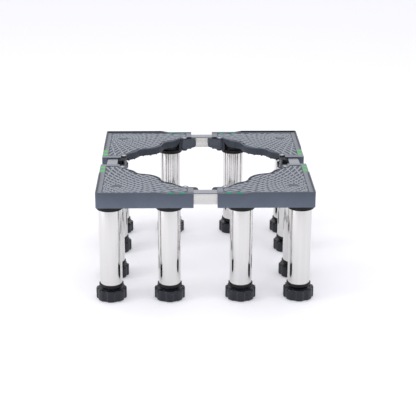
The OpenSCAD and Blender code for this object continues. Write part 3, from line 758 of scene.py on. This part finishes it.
class Finishes:
    """Every finish of the stand, built once."""

    def __init__(self) -> None:
        """Builds the materials."""
        effects = Effects()
        slate_dust = (0.42, 0.43, 0.46)
        black_dust = (0.20, 0.20, 0.21)
        # The tray's dark edge colour paints shade along its edges.
        self.tray = TrayFinish(
            "slate_moulded_plastic", (0.228, 0.244, 0.286), (0.238, 0.254, 0.296), (0.045, 0.052, 0.070),
            slate_dust,
            roughness=0.40, cloud_roughness=0.48, grain_depth=0.05, wear=0.7, dust=0.06,
            sheen_level=0.25,
        ).material(effects)
        # The ridges are a lighter copy of the tray's plastic, a painted highlight of ridges catching light,
        # and their light edge colour paints more highlight.
        self.ridge = PlasticFinish(
            "slate_grip_ridges_painted_light", (0.305, 0.329, 0.380), (0.323, 0.347, 0.400), (0.38, 0.40, 0.45),
            slate_dust,
            roughness=0.36, cloud_roughness=0.44, grain_depth=0.03, wear=0.2, dust=0.10,
            edge_radius=0.2, sheen_level=0.25,
        ).material(effects)
        # This near-black plastic paints the shade of the groove along the wavy edge.
        self.groove = PlasticFinish(
            "painted_groove_shade", (0.010, 0.013, 0.020), (0.016, 0.019, 0.027), (0.03, 0.03, 0.04),
            slate_dust,
            roughness=0.6, cloud_roughness=0.7, grain_depth=0.02, wear=0.2, dust=0.03,
            edge_radius=0.1, sheen_level=0.1,
        ).material(effects)
        self.lever = PlasticFinish(
            "slate_lever_plastic", (0.078, 0.089, 0.110), (0.088, 0.100, 0.122), (0.020, 0.024, 0.032),
            slate_dust,
            roughness=0.34, cloud_roughness=0.42, grain_depth=0.04, wear=0.5, dust=0.02,
            level_shade=0.15, sheen_level=0.2,
        ).material(effects)
        self.socket = PlasticFinish(
            "black_socket_plastic", (0.006, 0.006, 0.007), (0.008, 0.008, 0.009), (0.06, 0.06, 0.065),
            black_dust,
            roughness=0.26, cloud_roughness=0.34, grain_scale=1800.0, grain_depth=0.02, wear=0.25, dust=0.02,
            edge_radius=0.8, sheen_level=0.22,
        ).material(effects)
        # The knob's light edge colour paints highlights along its scallops and rims.
        self.knob = PlasticFinish(
            "black_knob_plastic", (0.005, 0.007, 0.013), (0.010, 0.012, 0.020), (0.22, 0.23, 0.26),
            black_dust,
            roughness=0.12, cloud_roughness=0.30, grain_scale=1300.0, grain_depth=0.05, wear=0.6, dust=0.05,
            edge_radius=0.5, sheen_level=0.42,
        ).material(effects)
        self.rubber = PlasticFinish(
            "black_pad_rubber", (0.018, 0.018, 0.019), (0.026, 0.026, 0.027), (0.07, 0.07, 0.07), black_dust,
            roughness=0.78, cloud_roughness=0.88, grain_scale=2200.0, grain_depth=0.08, wear=0.4, dust=0.2,
            edge_radius=0.4,
        ).material(effects)
        self.mark = MarkFinish(
            "green_mark_paint", (0.10, 0.52, 0.13), (0.12, 0.56, 0.15), (0.20, 0.52, 0.26),
            (0.35, 0.42, 0.37),
            roughness=0.50, cloud_roughness=0.6, grain_scale=1600.0, grain_depth=0.03, wear=0.1, dust=0.02,
            edge_radius=0.15, sheen_level=0.15,
        ).material(effects)
        self.leg = MetalFinish(
            "polished_leg_steel", (0.735, 0.725, 0.71), (0.68, 0.67, 0.66), roughness=0.045,
            line_roughness=0.09, stretch=(1.0, 1.0, 0.012), line_scale=900.0, line_depth=0.002,
        ).material(effects)
        # The tubes get a painted lavender reflection on their tops and a painted dark reflection on their
        # upper corners.
        self.tube_x, self.tube_y = (MetalFinish(
            f"drawn_tube_steel_{way}", (0.67, 0.66, 0.635), (0.60, 0.595, 0.58), roughness=0.20,
            line_roughness=0.32, stretch=stretch, line_scale=700.0, line_depth=0.006,
            level_painted_reflection=(0.67, 0.71, 0.82), corner_painted_reflection=(0.24, 0.25, 0.31),
        ).material(effects) for way, stretch in (("across", (0.015, 1.0, 1.0)), ("deep", (1.0, 0.015, 1.0))))
        self.zinc = MetalFinish(
            "zinc_plated_steel", (0.80, 0.82, 0.85), (0.70, 0.72, 0.75), roughness=0.30,
            line_roughness=0.42, stretch=(1.0, 1.0, 1.0), line_scale=420.0, line_depth=0.01,
        ).material(effects)


@dataclass(frozen=True)
class CurvedEdge:
    """The wavy inner edge of a tray, as distance along the diagonal over distance across it."""

    lobe_out: float = 10.8
    lobe_r: float = 50.0
    dip_in: float = 3.2
    dip_at: float = 43.0
    side_lobe_out: float = 1.8
    side_lobe_at: float = 66.0
    straight_at: float = 84.0

    @property
    def base(self) -> float:
        """Returns the distance of the edge's base line from the outer corner."""
        return (SIZES.tray_len - SIZES.end_flat + SIZES.arm_w) / math.sqrt(2.0)

    @staticmethod
    def arc_sum(across: float, height: float) -> float:
        """Returns the summed radii of two tangent arcs with crests this far apart: (a^2 + h^2) / 2h."""
        return (across**2 + height**2) / (2.0 * height)

    def line(self, across: np.ndarray, inset: float) -> np.ndarray:
        """Gives the edge set in by a distance, as a chain of arcs: s = c + (r - d) cos or c - (r + d) cos.

        Args:
            across: Distances from the diagonal.
            inset: How far the edge is set in.

        Returns:
            The edge's distances from the outer corner, along the diagonal.
        """
        apex = self.base + self.lobe_out
        dip = self.base - self.dip_in
        side_top = self.base + self.side_lobe_out
        dip_r = self.arc_sum(self.dip_at, apex - dip) - self.lobe_r
        side_r = self.arc_sum(self.side_lobe_at - self.dip_at, side_top - dip) - dip_r
        run_r = self.arc_sum(self.straight_at - self.side_lobe_at, side_top - self.base) - side_r
        arcs = [
            (apex - self.lobe_r, 0.0, self.lobe_r - inset, 1.0),
            (dip + dip_r, self.dip_at, dip_r + inset, -1.0),
            (side_top - side_r, self.side_lobe_at, side_r - inset, 1.0),
            (self.base + run_r, self.straight_at, run_r + inset, -1.0),
        ]
        ends = [
            self.meeting(0.0, self.lobe_r, self.dip_at, dip_r, inset),
            self.meeting(self.side_lobe_at, side_r, self.dip_at, dip_r, inset),
            self.meeting(self.side_lobe_at, side_r, self.straight_at, run_r, inset),
            self.straight_at,
        ]
        t = np.abs(across)
        curves = [centre + sign * np.sqrt(np.maximum(radius**2 - (t - at) ** 2, 0.0))
                  for centre, at, radius, sign in arcs]
        return np.select([t < end for end in ends], curves, default=self.base - inset)

    @staticmethod
    def meeting(out_at: float, out_r: float, in_at: float, in_r: float, inset: float) -> float:
        """Returns where an outward arc, set in, passes into its neighbour."""
        return out_at + (in_at - out_at) * (out_r - inset) / (out_r + in_r)


@dataclass
class GripPattern:
    """The raised lattice on a tray's deck, and a near-black strip of painted groove shade between it and the
    wavy edge.

    The lattice is made of arcs round a point near the stand's middle and rays from the outer corner. The
    place left bare near the outer corner is mirrored in every second tray.
    """

    mirrored: bool = False
    arc_centre: float = 280.0
    arc_pitch: float = 10.5
    first_arc: float = 227.0
    rays: int = 15
    ray_starts: tuple[float, float] = (20.0, 50.0)
    arc_halves: tuple[float, float] = (2.1, 1.35)
    ray_halves: tuple[float, float] = (1.6, 0.85)
    groove_halves: tuple[float, float] = (1.7, 1.6)
    groove_rise: float = 0.06
    sink: float = 0.05
    margin: float = 1.2
    groove_w: float = 3.4
    step: float = 3.0
    shortest: float = 4.0
    line_points: int = 700
    odd_lowered: float = 0.04
    sharp_over: float = 15.0

    def inside(self, plan: np.ndarray, gap: float) -> np.ndarray:
        """Tells which plan places lie on the sunk panel.

        Args:
            plan: Places in the tray's frame, with two columns.
            gap: How far they keep from the wavy edge's lip and from the side arms' ends.

        Returns:
            One truth value for each place.
        """
        a, b = plan[..., 0], plan[..., 1]
        wide, deep = (b, a) if self.mirrored else (a, b)
        along = (a + b) / math.sqrt(2.0)
        across = (b - a) / math.sqrt(2.0)
        low = SIZES.border_w + self.margin
        high = SIZES.tray_len - SIZES.end_border
        kept = along < CurvedEdge().line(across, SIZES.edge_lip + gap)
        kept &= (a > low) & (b > low) & (wide < high - self.margin) & (deep < high - gap)
        pivot = (SIZES.tray_len - SIZES.pivot_end, SIZES.pivot_b)
        clear = SIZES.ear_r + SIZES.edge_lip + self.margin
        for centre in (pivot, pivot[::-1]):
            kept &= np.hypot(a - centre[0], b - centre[1]) > clear
        lip = SIZES.arm_w - SIZES.edge_lip - self.margin
        straight = SIZES.tray_len - SIZES.end_flat - self.margin
        kept &= ~((a > straight) & (b > lip)) & ~((b > straight) & (a > lip))
        bare_wide = (wide - SIZES.bare_at[0]) / SIZES.bare_half[0]
        bare_deep = (deep - SIZES.bare_at[1]) / SIZES.bare_half[1]
        return kept & (bare_wide**4 + bare_deep**4 > 1.0)

    def arc_lines(self) -> list[np.ndarray]:
        """Returns the plan lines of the arcs, before they are cut to the panel."""
        turn = np.linspace(math.pi, 1.5 * math.pi, self.line_points)
        furthest = math.sqrt(2.0) * self.arc_centre
        return [self.arc_centre + radius * np.stack([np.cos(turn), np.sin(turn)], axis=-1)
                for radius in np.arange(self.first_arc, furthest, self.arc_pitch)]

    def ray_lines(self) -> list[np.ndarray]:
        """Returns the plan lines of the rays, before they are cut to the panel."""
        lines = []
        for number in range(self.rays):
            angle = (number + 0.5) / self.rays * math.pi / 2
            out = np.linspace(self.ray_starts[number % 2], 1.5 * SIZES.tray_len, self.line_points)
            lines.append(np.stack([out * math.cos(angle), out * math.sin(angle)], axis=-1))
        return lines

    def groove_line(self) -> np.ndarray:
        """Returns the plan line of the groove along the wavy edge, before it is cut to the panel."""
        across = np.linspace(-SIZES.tray_len, SIZES.tray_len, 2 * self.line_points)
        along = CurvedEdge().line(across, SIZES.edge_lip + self.groove_halves[0] + self.sink)
        return np.stack([along - across, along + across], axis=-1) / math.sqrt(2.0)

    def ribbon(self, path: np.ndarray, lowered: float, halves: tuple[float, float]) -> Surface:
        """Carries a trapezoid along a plan path: place = p(u) + n(u) w(v), with height h(v).

        The ends close to a point at the ridge's foot, so the ridge is a closed skin.

        Args:
            path: The ridge's middle line, with two columns.
            lowered: How far its top lies below the deck.
            halves: Half its width at its foot and at its top.

        Returns:
            The ridge in the tray's frame.
        """
        direction = np.gradient(path, axis=0)
        direction /= np.linalg.norm(direction, axis=1, keepdims=True)
        normal = np.stack([-direction[:, 1], direction[:, 0]], axis=-1)
        low = SIZES.deck_top - SIZES.panel_depth - self.sink
        high = SIZES.deck_top - lowered
        foot, top = halves
        across = np.array([-foot, -top, top, foot])
        height = np.array([low, high, high, low])
        ends = np.ones((len(path), 1))
        ends[[0, -1]] = 0.0
        plan = path[:, None, :] + normal[:, None, :] * (across * ends)[:, :, None]
        rise = low + (height - low) * ends
        return Surface.from_grid(np.concatenate([plan, rise[..., None]], axis=-1), close_columns=True)

    def cut(self, path: np.ndarray, gap: float) -> list[np.ndarray]:
        """Cuts a path to the panel and spaces its points evenly.

        Args:
            path: A dense line in plan.
            gap: How far it keeps from the wavy edge's lip and from the side arms' ends.

        Returns:
            The stretches that lie on the panel.
        """
        kept = self.inside(path, gap)
        starts = np.flatnonzero(np.diff(np.concatenate([[False], kept, [False]]).astype(int)))
        stretches = []
        for first, last in zip(starts[::2], starts[1::2]):
            part = path[first:last]
            run = np.concatenate([[0.0], np.cumsum(np.linalg.norm(np.diff(part, axis=0), axis=1))])
            if run[-1] < self.shortest:
                continue
            slope = self.margin
            inner = np.linspace(slope, run[-1] - slope, max(2, int(run[-1] / self.step)))
            spaced = np.concatenate([[0.0], inner, [run[-1]]])
            stretches.append(np.stack([np.interp(spaced, run, part[:, axis]) for axis in (0, 1)], axis=-1))
        return stretches

    def build(self, corner: Corner, finishes: Finishes) -> None:
        """Adds one corner's lattice and its strip of painted groove shade, which ride on its tray."""
        ridges = []
        for lines, halves in ((self.arc_lines(), self.arc_halves), (self.ray_lines(), self.ray_halves)):
            for number, line in enumerate(lines):
                parts = self.cut(line, self.groove_w)
                ridges += [self.ribbon(part, self.odd_lowered * (number % 2), halves) for part in parts]
        lowered = SIZES.panel_depth - self.groove_rise
        groove = [self.ribbon(part, lowered, self.groove_halves)
                  for part in self.cut(self.groove_line(), self.margin)]
        for name, strips, finish in (("grip_ridges", ridges, finishes.ridge),
                                     ("edge_groove_painted_shade", groove, finishes.groove)):
            shape = Surface.joined(strips)
            shape.places = at_corner(shape.places, corner)
            add_piece(f"{name}_{corner.label}", shape, finish, f"corner_{corner.label}",
                      sharp_over=self.sharp_over)


@dataclass
class Legs:
    """The polished tubes and the black plugs of one corner's three legs."""

    radius: float = 25.0
    wall: float = 0.9
    bottom: float = 34.0
    length: float = 186.0
    end_round: float = 0.3
    plug_bottom: float = 32.0
    plug_bore_r: float = 17.1
    plug_r: float = 23.95
    lip_r: float = 27.0
    lip_top: float = 37.0
    plug_top: float = 72.0
    seat: float = 0.15
    groove_at: float = 2.3
    groove_half: float = 0.3
    groove_depth: float = 0.5
    segments: int = 128

    def tube(self) -> Surface:
        """Returns one leg tube about Z, its wall turned from a rounded outline."""
        inner = self.radius - self.wall
        top = self.bottom + self.length
        outline = [(inner, self.bottom, self.end_round), (self.radius, self.bottom, self.end_round),
                   (self.radius, top, self.end_round), (inner, top, self.end_round)]
        return revolved(rounded_profile(outline, 3), self.segments)

    def plug(self) -> Surface:
        """Returns one leg plug about Z: a bored plug in the tube with a soft lip round the tube's end."""
        groove = self.plug_bottom + self.groove_at
        outline = [
            (self.plug_bore_r, self.plug_bottom, 0.4),
            (self.lip_r, self.plug_bottom, 1.0),
            (self.lip_r, groove - self.groove_half, 0.2),
            (self.lip_r - self.groove_depth, groove, 0.1),
            (self.lip_r, groove + self.groove_half, 0.2),
            (self.lip_r, self.lip_top, 0.7),
            (self.radius + self.seat, self.lip_top, 0.3),
            (self.radius + self.seat, self.bottom, 0.0),
            (self.plug_r, self.bottom, 0.0),
            (self.plug_r, self.plug_top, 1.0),
            (self.plug_bore_r, self.plug_top, 0.5),
        ]
        return revolved(rounded_profile(outline, 4), self.segments)

    def build(self, corner: Corner, finishes: Finishes) -> None:
        """Adds one corner's leg tubes and plugs in place of their CAD nodes."""
        body = f"corner_{corner.label}"
        for kind, shape, finish, slot in (("leg_tubes", self.tube(), finishes.leg, "stainless_tube"),
                                          ("leg_plugs", self.plug(), finishes.socket, "black_plastic")):
            group = Surface.joined([shape.moved((a, b, 0.0)) for a, b in SIZES.leg_places()])
            group.places = at_corner(group.places, corner)
            node = f"{kind}_{corner.label}"
            add_piece(f"{node}_dressed", group, finish, body, [node])


@dataclass
class FootKnob:
    """A scalloped foot knob with a dished top, a neck and a threaded stem."""

    radius: float = 34.0
    bottom: float = 1.0
    top: float = 26.0
    scallops: int = 8
    scallop_r: float = 10.0
    scallop_depth: float = 3.0
    round_r: float = 3.0
    dish_r: float = 26.0
    dish_depth: float = 2.0
    neck_r: float = 21.0
    neck_top: float = 31.8
    stem_r: float = 17.0
    stem_top: float = 92.0
    thread_pitch: float = 5.0
    thread_depth: float = 1.4
    pad_r: float = 28.1
    pad_top: float = 3.1
    stud_r: float = 6.1
    stud_top: float = 11.2
    segments: int = 128

    def outline(self, turn: np.ndarray) -> np.ndarray:
        """Gives the scalloped outline as a share of the full radius.

        In a scallop the radius is d cos t - sqrt(r^2 - d^2 sin^2 t), with t from the scallop's middle and
        d the distance of its centre. It is joined to the full radius by a soft minimum.

        Args:
            turn: Angles round the knob.

        Returns:
            The radius at each angle, divided by the full radius.
        """
        pitch = 2.0 * math.pi / self.scallops
        t = (turn % pitch) - pitch / 2
        centre = self.radius + self.scallop_r - self.scallop_depth
        reach = np.maximum(self.scallop_r**2 - (centre * np.sin(t)) ** 2, 0.0)
        hollow = np.where(reach > 0, centre * np.cos(t) - np.sqrt(reach), 3 * self.radius)
        softness = 0.35
        soft = -softness * np.logaddexp(-self.radius / softness, -hollow / softness)
        return soft / self.radius

    def profile(self) -> tuple[np.ndarray, np.ndarray]:
        """Gives the knob's outline from the stud's hole round to the top of its stem.

        Returns:
            Radius and height of each point, and how much of the scallops each point takes.
        """
        arc = np.linspace(0.0, math.pi / 2, 6)
        inset = self.radius - self.round_r
        rounding = self.round_r * np.stack([np.sin(arc), 1.0 - np.cos(arc)], axis=-1)
        low = np.array([inset, self.bottom]) + rounding
        high = (np.array([inset, self.top]) + rounding * [1.0, -1.0])[::-1]
        rows = 6
        rise = np.linspace(self.bottom + self.round_r, self.top - self.round_r, rows + 2)[1:-1]
        waist = np.column_stack([np.full(rows, self.radius), rise])
        hole = np.array([
            [0.0, self.stud_top], [self.stud_r, self.stud_top], [self.stud_r, self.pad_top],
            [self.pad_r, self.pad_top], [self.pad_r, self.bottom],
        ])
        floor = self.top - self.dish_depth
        soft = 0.6
        dish = np.array([
            [self.dish_r + soft, self.top], [self.dish_r, self.top - soft / 2],
            [self.dish_r - soft, floor + soft / 2], [self.dish_r - 2 * soft, floor],
            [self.neck_r + soft, floor], [self.neck_r, floor + soft],
            [self.neck_r, self.neck_top - soft], [self.neck_r - soft, self.neck_top],
            [self.stem_r, self.neck_top],
        ])
        rows = int((self.stem_top - self.neck_top) / self.thread_pitch * 6)
        stem = np.column_stack([np.full(rows, self.stem_r), np.linspace(self.neck_top, self.stem_top, rows)])
        parts = [hole, low, waist, high, dish, stem, np.array([[0.0, self.stem_top]])]
        shares = [0.0, 1.0, 1.0, 1.0, 0.0, 0.0, 0.0]
        share = np.concatenate([np.full(len(part), value) for part, value in zip(parts, shares)])
        return np.concatenate(parts), share

    def thread(self, turn: np.ndarray, height: np.ndarray, radius: np.ndarray) -> np.ndarray:
        """Gives the thread's depth: d (0.5 + 0.5 cos(2 pi z / p - t)), faded out at both ends."""
        wave = 0.5 + 0.5 * np.cos(2.0 * math.pi * height / self.thread_pitch - turn)
        to_end = np.minimum(height - self.neck_top, self.stem_top - height)
        fade = np.clip(to_end / self.thread_pitch, 0.0, 1.0)
        return np.where(radius == self.stem_r, self.thread_depth * wave * fade, 0.0)

    def surface(self) -> Surface:
        """Returns the knob about Z, as radius times outline over angle and profile."""
        turn = np.linspace(0.0, 2.0 * math.pi, self.segments, endpoint=False)[None, :]
        profile, share = self.profile()
        radius = profile[:, :1]
        height = np.repeat(profile[:, 1:], self.segments, axis=1)
        outline = 1.0 + share[:, None] * (self.outline(turn) - 1.0)
        reach = radius * outline - self.thread(turn, height, radius)
        grid = np.stack([reach * np.cos(turn), reach * np.sin(turn), height], axis=-1)
        return Surface.from_grid(grid, close_columns=True)

    def build(self, corner: Corner, finishes: Finishes) -> None:
        """Adds one corner's three knobs in place of their CAD nodes."""
        shape = self.surface()
        for foot, (a, b) in zip(corner.feet, SIZES.leg_places()):
            knob = shape.moved((a, b, 0.0))
            knob.places = at_corner(knob.places, corner)
            add_piece(f"foot_knob_{foot}_dressed", knob, finishes.knob, f"knob_{foot}",
                      [f"foot_knob_{foot}"])


@dataclass
class CrossTube:
    """A telescopic square tube with a plug in each end."""

    width: float = 26.0
    wall: float = 1.5
    corner_r: float = 2.0
    length: float = 316.0
    plug_len: float = 12.0
    seat: float = 0.15
    round_reach: float = 1.2

    def section(self, width: float, radius: float) -> np.ndarray:
        """Returns a rounded square of a width in the plane across the tube."""
        half = width / 2
        corners = [(-half, -half), (half, -half), (half, half), (-half, half)]
        return rounded_profile([(y, z, radius * self.round_reach) for y, z in corners], 6)

    @staticmethod
    def ring(outline: np.ndarray, x: float) -> np.ndarray:
        """Returns an outline placed across the tube at a distance along it."""
        return np.column_stack([np.full(len(outline), x), outline])

    def build(self, side: Side, finishes: Finishes) -> None:
        """Adds one tube, its wall carried along the tube's length, in place of its CAD node.

        Args:
            side: The tube's side of the stand.
            finishes: The materials.
        """
        outer = self.section(self.width, self.corner_r)
        inner = self.section(self.width - 2 * self.wall, self.corner_r - self.wall / 2)
        plug = self.section(self.width - 2 * self.wall - 2 * self.seat, self.corner_r - self.wall / 2)
        half = self.length / 2
        wall = np.stack([self.ring(outer, -half), self.ring(outer, half), self.ring(inner, half),
                         self.ring(inner, -half)])
        pieces = [Surface.from_grid(wall, close_rows=True, close_columns=True)]
        for end in (-half, half - self.plug_len):
            far = end + self.plug_len
            block = np.stack([self.ring(plug * 0.0, end), self.ring(plug, end), self.ring(plug, far),
                              self.ring(plug * 0.0, far)])
            pieces.append(Surface.from_grid(block, close_columns=True))
        reach = (SIZES.depth if side in (Side.FRONT, Side.BACK) else SIZES.width) / 2
        tube = Surface.joined(pieces).moved((0.0, SIZES.tube_inset - reach, SIZES.tube_mid_z))
        tube.places = turned(tube.places, side.value)
        finish = finishes.tube_x if side in (Side.FRONT, Side.BACK) else finishes.tube_y
        label = side.name.lower()
        add_piece(f"cross_tube_{label}_dressed", tube, finish, f"tube_{label}",
                  [f"cross_tube_{label}"])


@dataclass
class CarriedOver:
    """The CAD nodes that keep their shapes, with the finish that each kind gets."""

    finishes: Finishes

    def kinds(self) -> dict[str, bpy.types.Material]:
        """Returns the finish for each kind of node, by the start of its name."""
        return {"corner_tray_": self.finishes.tray, "leg_sockets_": self.finishes.socket,
                "pins_and_screws_": self.finishes.zinc, "marks_": self.finishes.mark,
                "lock_lever_": self.finishes.lever, "foot_pad_": self.finishes.rubber}

    def dress(self, nodes: dict[str, bpy.types.Object]) -> None:
        """Puts the finishes on the CAD objects.

        Args:
            nodes: The frame's objects by node name.
        """
        for name, piece in nodes.items():
            for start, material in self.kinds().items():
                if name.startswith(start):
                    for place in range(len(piece.material_slots)):
                        piece.material_slots[place].material = material
                    LOG.info("%s: CAD shape, finish %s", name, material.name)


@dataclass
class Studio:
    """The pale floor, the soft lights and the camera."""

    floor_half: float = 14.0
    floor_tones: tuple[Colour, Colour] = ((0.775, 0.775, 0.805), (0.785, 0.785, 0.815))
    floor_glow: Colour = (0.28, 0.28, 0.30)
    low_wall: Colour = (0.90, 0.895, 0.885)
    high_wall: Colour = (0.99, 0.99, 1.0)
    wall_light: float = 0.9
    gaps: tuple[tuple[float, float], ...] = ((86.0, 2.5), (112.0, 1.6))
    gap_colour: Colour = (0.06, 0.06, 0.12)
    lens: float = 103.38
    sensor: float = 36.0
    camera_at: tuple[float, float, float] = (-0.0568, -2.6632, 1.1014)
    pitch: float = 0.3477
    yaw: float = 0.0255
    roll: float = 0.0039

    def floor(self) -> None:
        """Lays a large pale floor, which glows a little so that its shadows stay light."""
        material, graph, shader = new_material("studio_floor")
        place = graph.add("ShaderNodeTexCoord").outputs["Object"]
        cloud = graph.noise(place, 3.0, 2.0)
        graph.feed(shader, "Base Color", graph.blend(cloud, *self.floor_tones))
        graph.feed(shader, "Emission Color", (*self.floor_glow, 1.0))
        graph.feed(shader, "Emission Strength", 1.0)
        graph.feed(shader, "Roughness", 0.9)
        graph.feed(shader, "Specular IOR Level", 0.1)
        half = self.floor_half
        mesh = bpy.data.meshes.new("studio_floor")
        places = [(-half, -half, 0.0), (half, -half, 0.0), (half, half, 0.0), (-half, half, 0.0)]
        mesh.from_pydata(places, [], [(0, 1, 2, 3)])
        mesh.materials.append(material)
        floor = bpy.data.objects.new("studio_floor", mesh)
        bpy.context.scene.collection.objects.link(floor)

    def room(self) -> None:
        """Makes the white room, with two narrow dark gaps between its panels on each side of the stand."""
        world = bpy.data.worlds.new("white_room")
        world.use_nodes = True
        world.node_tree.nodes.clear()
        graph = Graph(world.node_tree)
        direction = graph.add("ShaderNodeTexCoord").outputs["Generated"]
        axes = graph.add("ShaderNodeSeparateXYZ", {0: direction}).outputs
        shade = graph.ranged(axes[2], -0.1, 0.9, 0.0, 1.0, smooth=True)
        colour = graph.blend(shade, self.low_wall, self.high_wall)
        turn = graph.math("ABSOLUTE", graph.math("ARCTAN2", axes[0], graph.math("MULTIPLY", axes[1], -1.0)))
        for middle, half in self.gaps:
            away = graph.math("ABSOLUTE", graph.math("SUBTRACT", turn, math.radians(middle)))
            gap = graph.ranged(away, math.radians(half), math.radians(2.0 * half), 1.0, 0.0, smooth=True)
            colour = graph.blend(gap, colour, self.gap_colour)
        lit = graph.add("ShaderNodeBackground", {"Color": colour, "Strength": self.wall_light})
        graph.add("ShaderNodeOutputWorld", {"Surface": lit.outputs[0]})
        bpy.context.scene.world = world

    def light(self, name: str, at: Place, target: Place, power: float, size: tuple[float, float],
              colour: Colour) -> None:
        """Adds one soft box.

        Args:
            name: Name of the light.
            at: Its place in metres.
            target: The place that it faces.
            power: Its power in watts.
            size: Its width and height in metres.
            colour: Its colour.
        """
        data = bpy.data.lights.new(name, "AREA")
        data.shape = "RECTANGLE"
        data.size, data.size_y = size
        data.energy = power
        data.color = colour
        box = bpy.data.objects.new(name, data)
        aim = (Vector(target) - Vector(at)).to_track_quat("-Z", "Y")
        box.matrix_world = Matrix.Translation(at) @ aim.to_matrix().to_4x4()
        bpy.context.scene.collection.objects.link(box)

    def camera(self) -> None:
        """Places the camera at the photograph's viewing angle."""
        level_reach = math.cos(self.pitch)
        forward = Vector((math.sin(self.yaw) * level_reach, math.cos(self.yaw) * level_reach,
                          -math.sin(self.pitch)))
        level = Vector((math.cos(self.yaw), -math.sin(self.yaw), 0.0))
        up = level.cross(forward)
        right = level * math.cos(self.roll) + up * math.sin(self.roll)
        upright = up * math.cos(self.roll) - level * math.sin(self.roll)
        data = bpy.data.cameras.new("photo_camera")
        data.lens = self.lens
        data.sensor_width = self.sensor
        data.clip_end = 60.0
        camera = bpy.data.objects.new("photo_camera", data)
        axes = Matrix((right, upright, -forward)).transposed().to_4x4()
        camera.matrix_world = Matrix.Translation(self.camera_at) @ axes
        bpy.context.scene.collection.objects.link(camera)
        bpy.context.scene.camera = camera

    def build(self) -> None:
        """Sets up the whole studio."""
        self.floor()
        self.room()
        middle = (0.0, 0.0, 0.15)
        self.light("top_box", (0.0, 0.1, 2.6), middle, 12.0, (2.4, 2.4), (1.0, 1.0, 1.0))
        self.light("left_box", (-2.3, -0.7, 1.3), middle, 18.0, (1.0, 1.8), (1.0, 0.99, 0.97))
        self.light("right_box", (2.2, -1.2, 1.5), middle, 4.0, (1.2, 1.6), (0.97, 0.98, 1.0))
        self.camera()
        view = bpy.context.scene.view_settings
        view.view_transform = "Standard"
        view.look = "None"
        LOG.info("studio ready")


def main() -> None:
    """Builds the dressed stand in order."""
    logging.basicConfig(level=logging.INFO, format="%(message)s")
    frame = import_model()
    finishes = Finishes()
    CarriedOver(finishes).dress(frame["nodes"])
    for corner in Corner:
        Legs().build(corner, finishes)
        FootKnob().build(corner, finishes)
        GripPattern(mirrored=corner.turns % 2 == 1).build(corner, finishes)
    for side in Side:
        CrossTube().build(side, finishes)
    Studio().build()


if __name__ == "__main__":
    main()
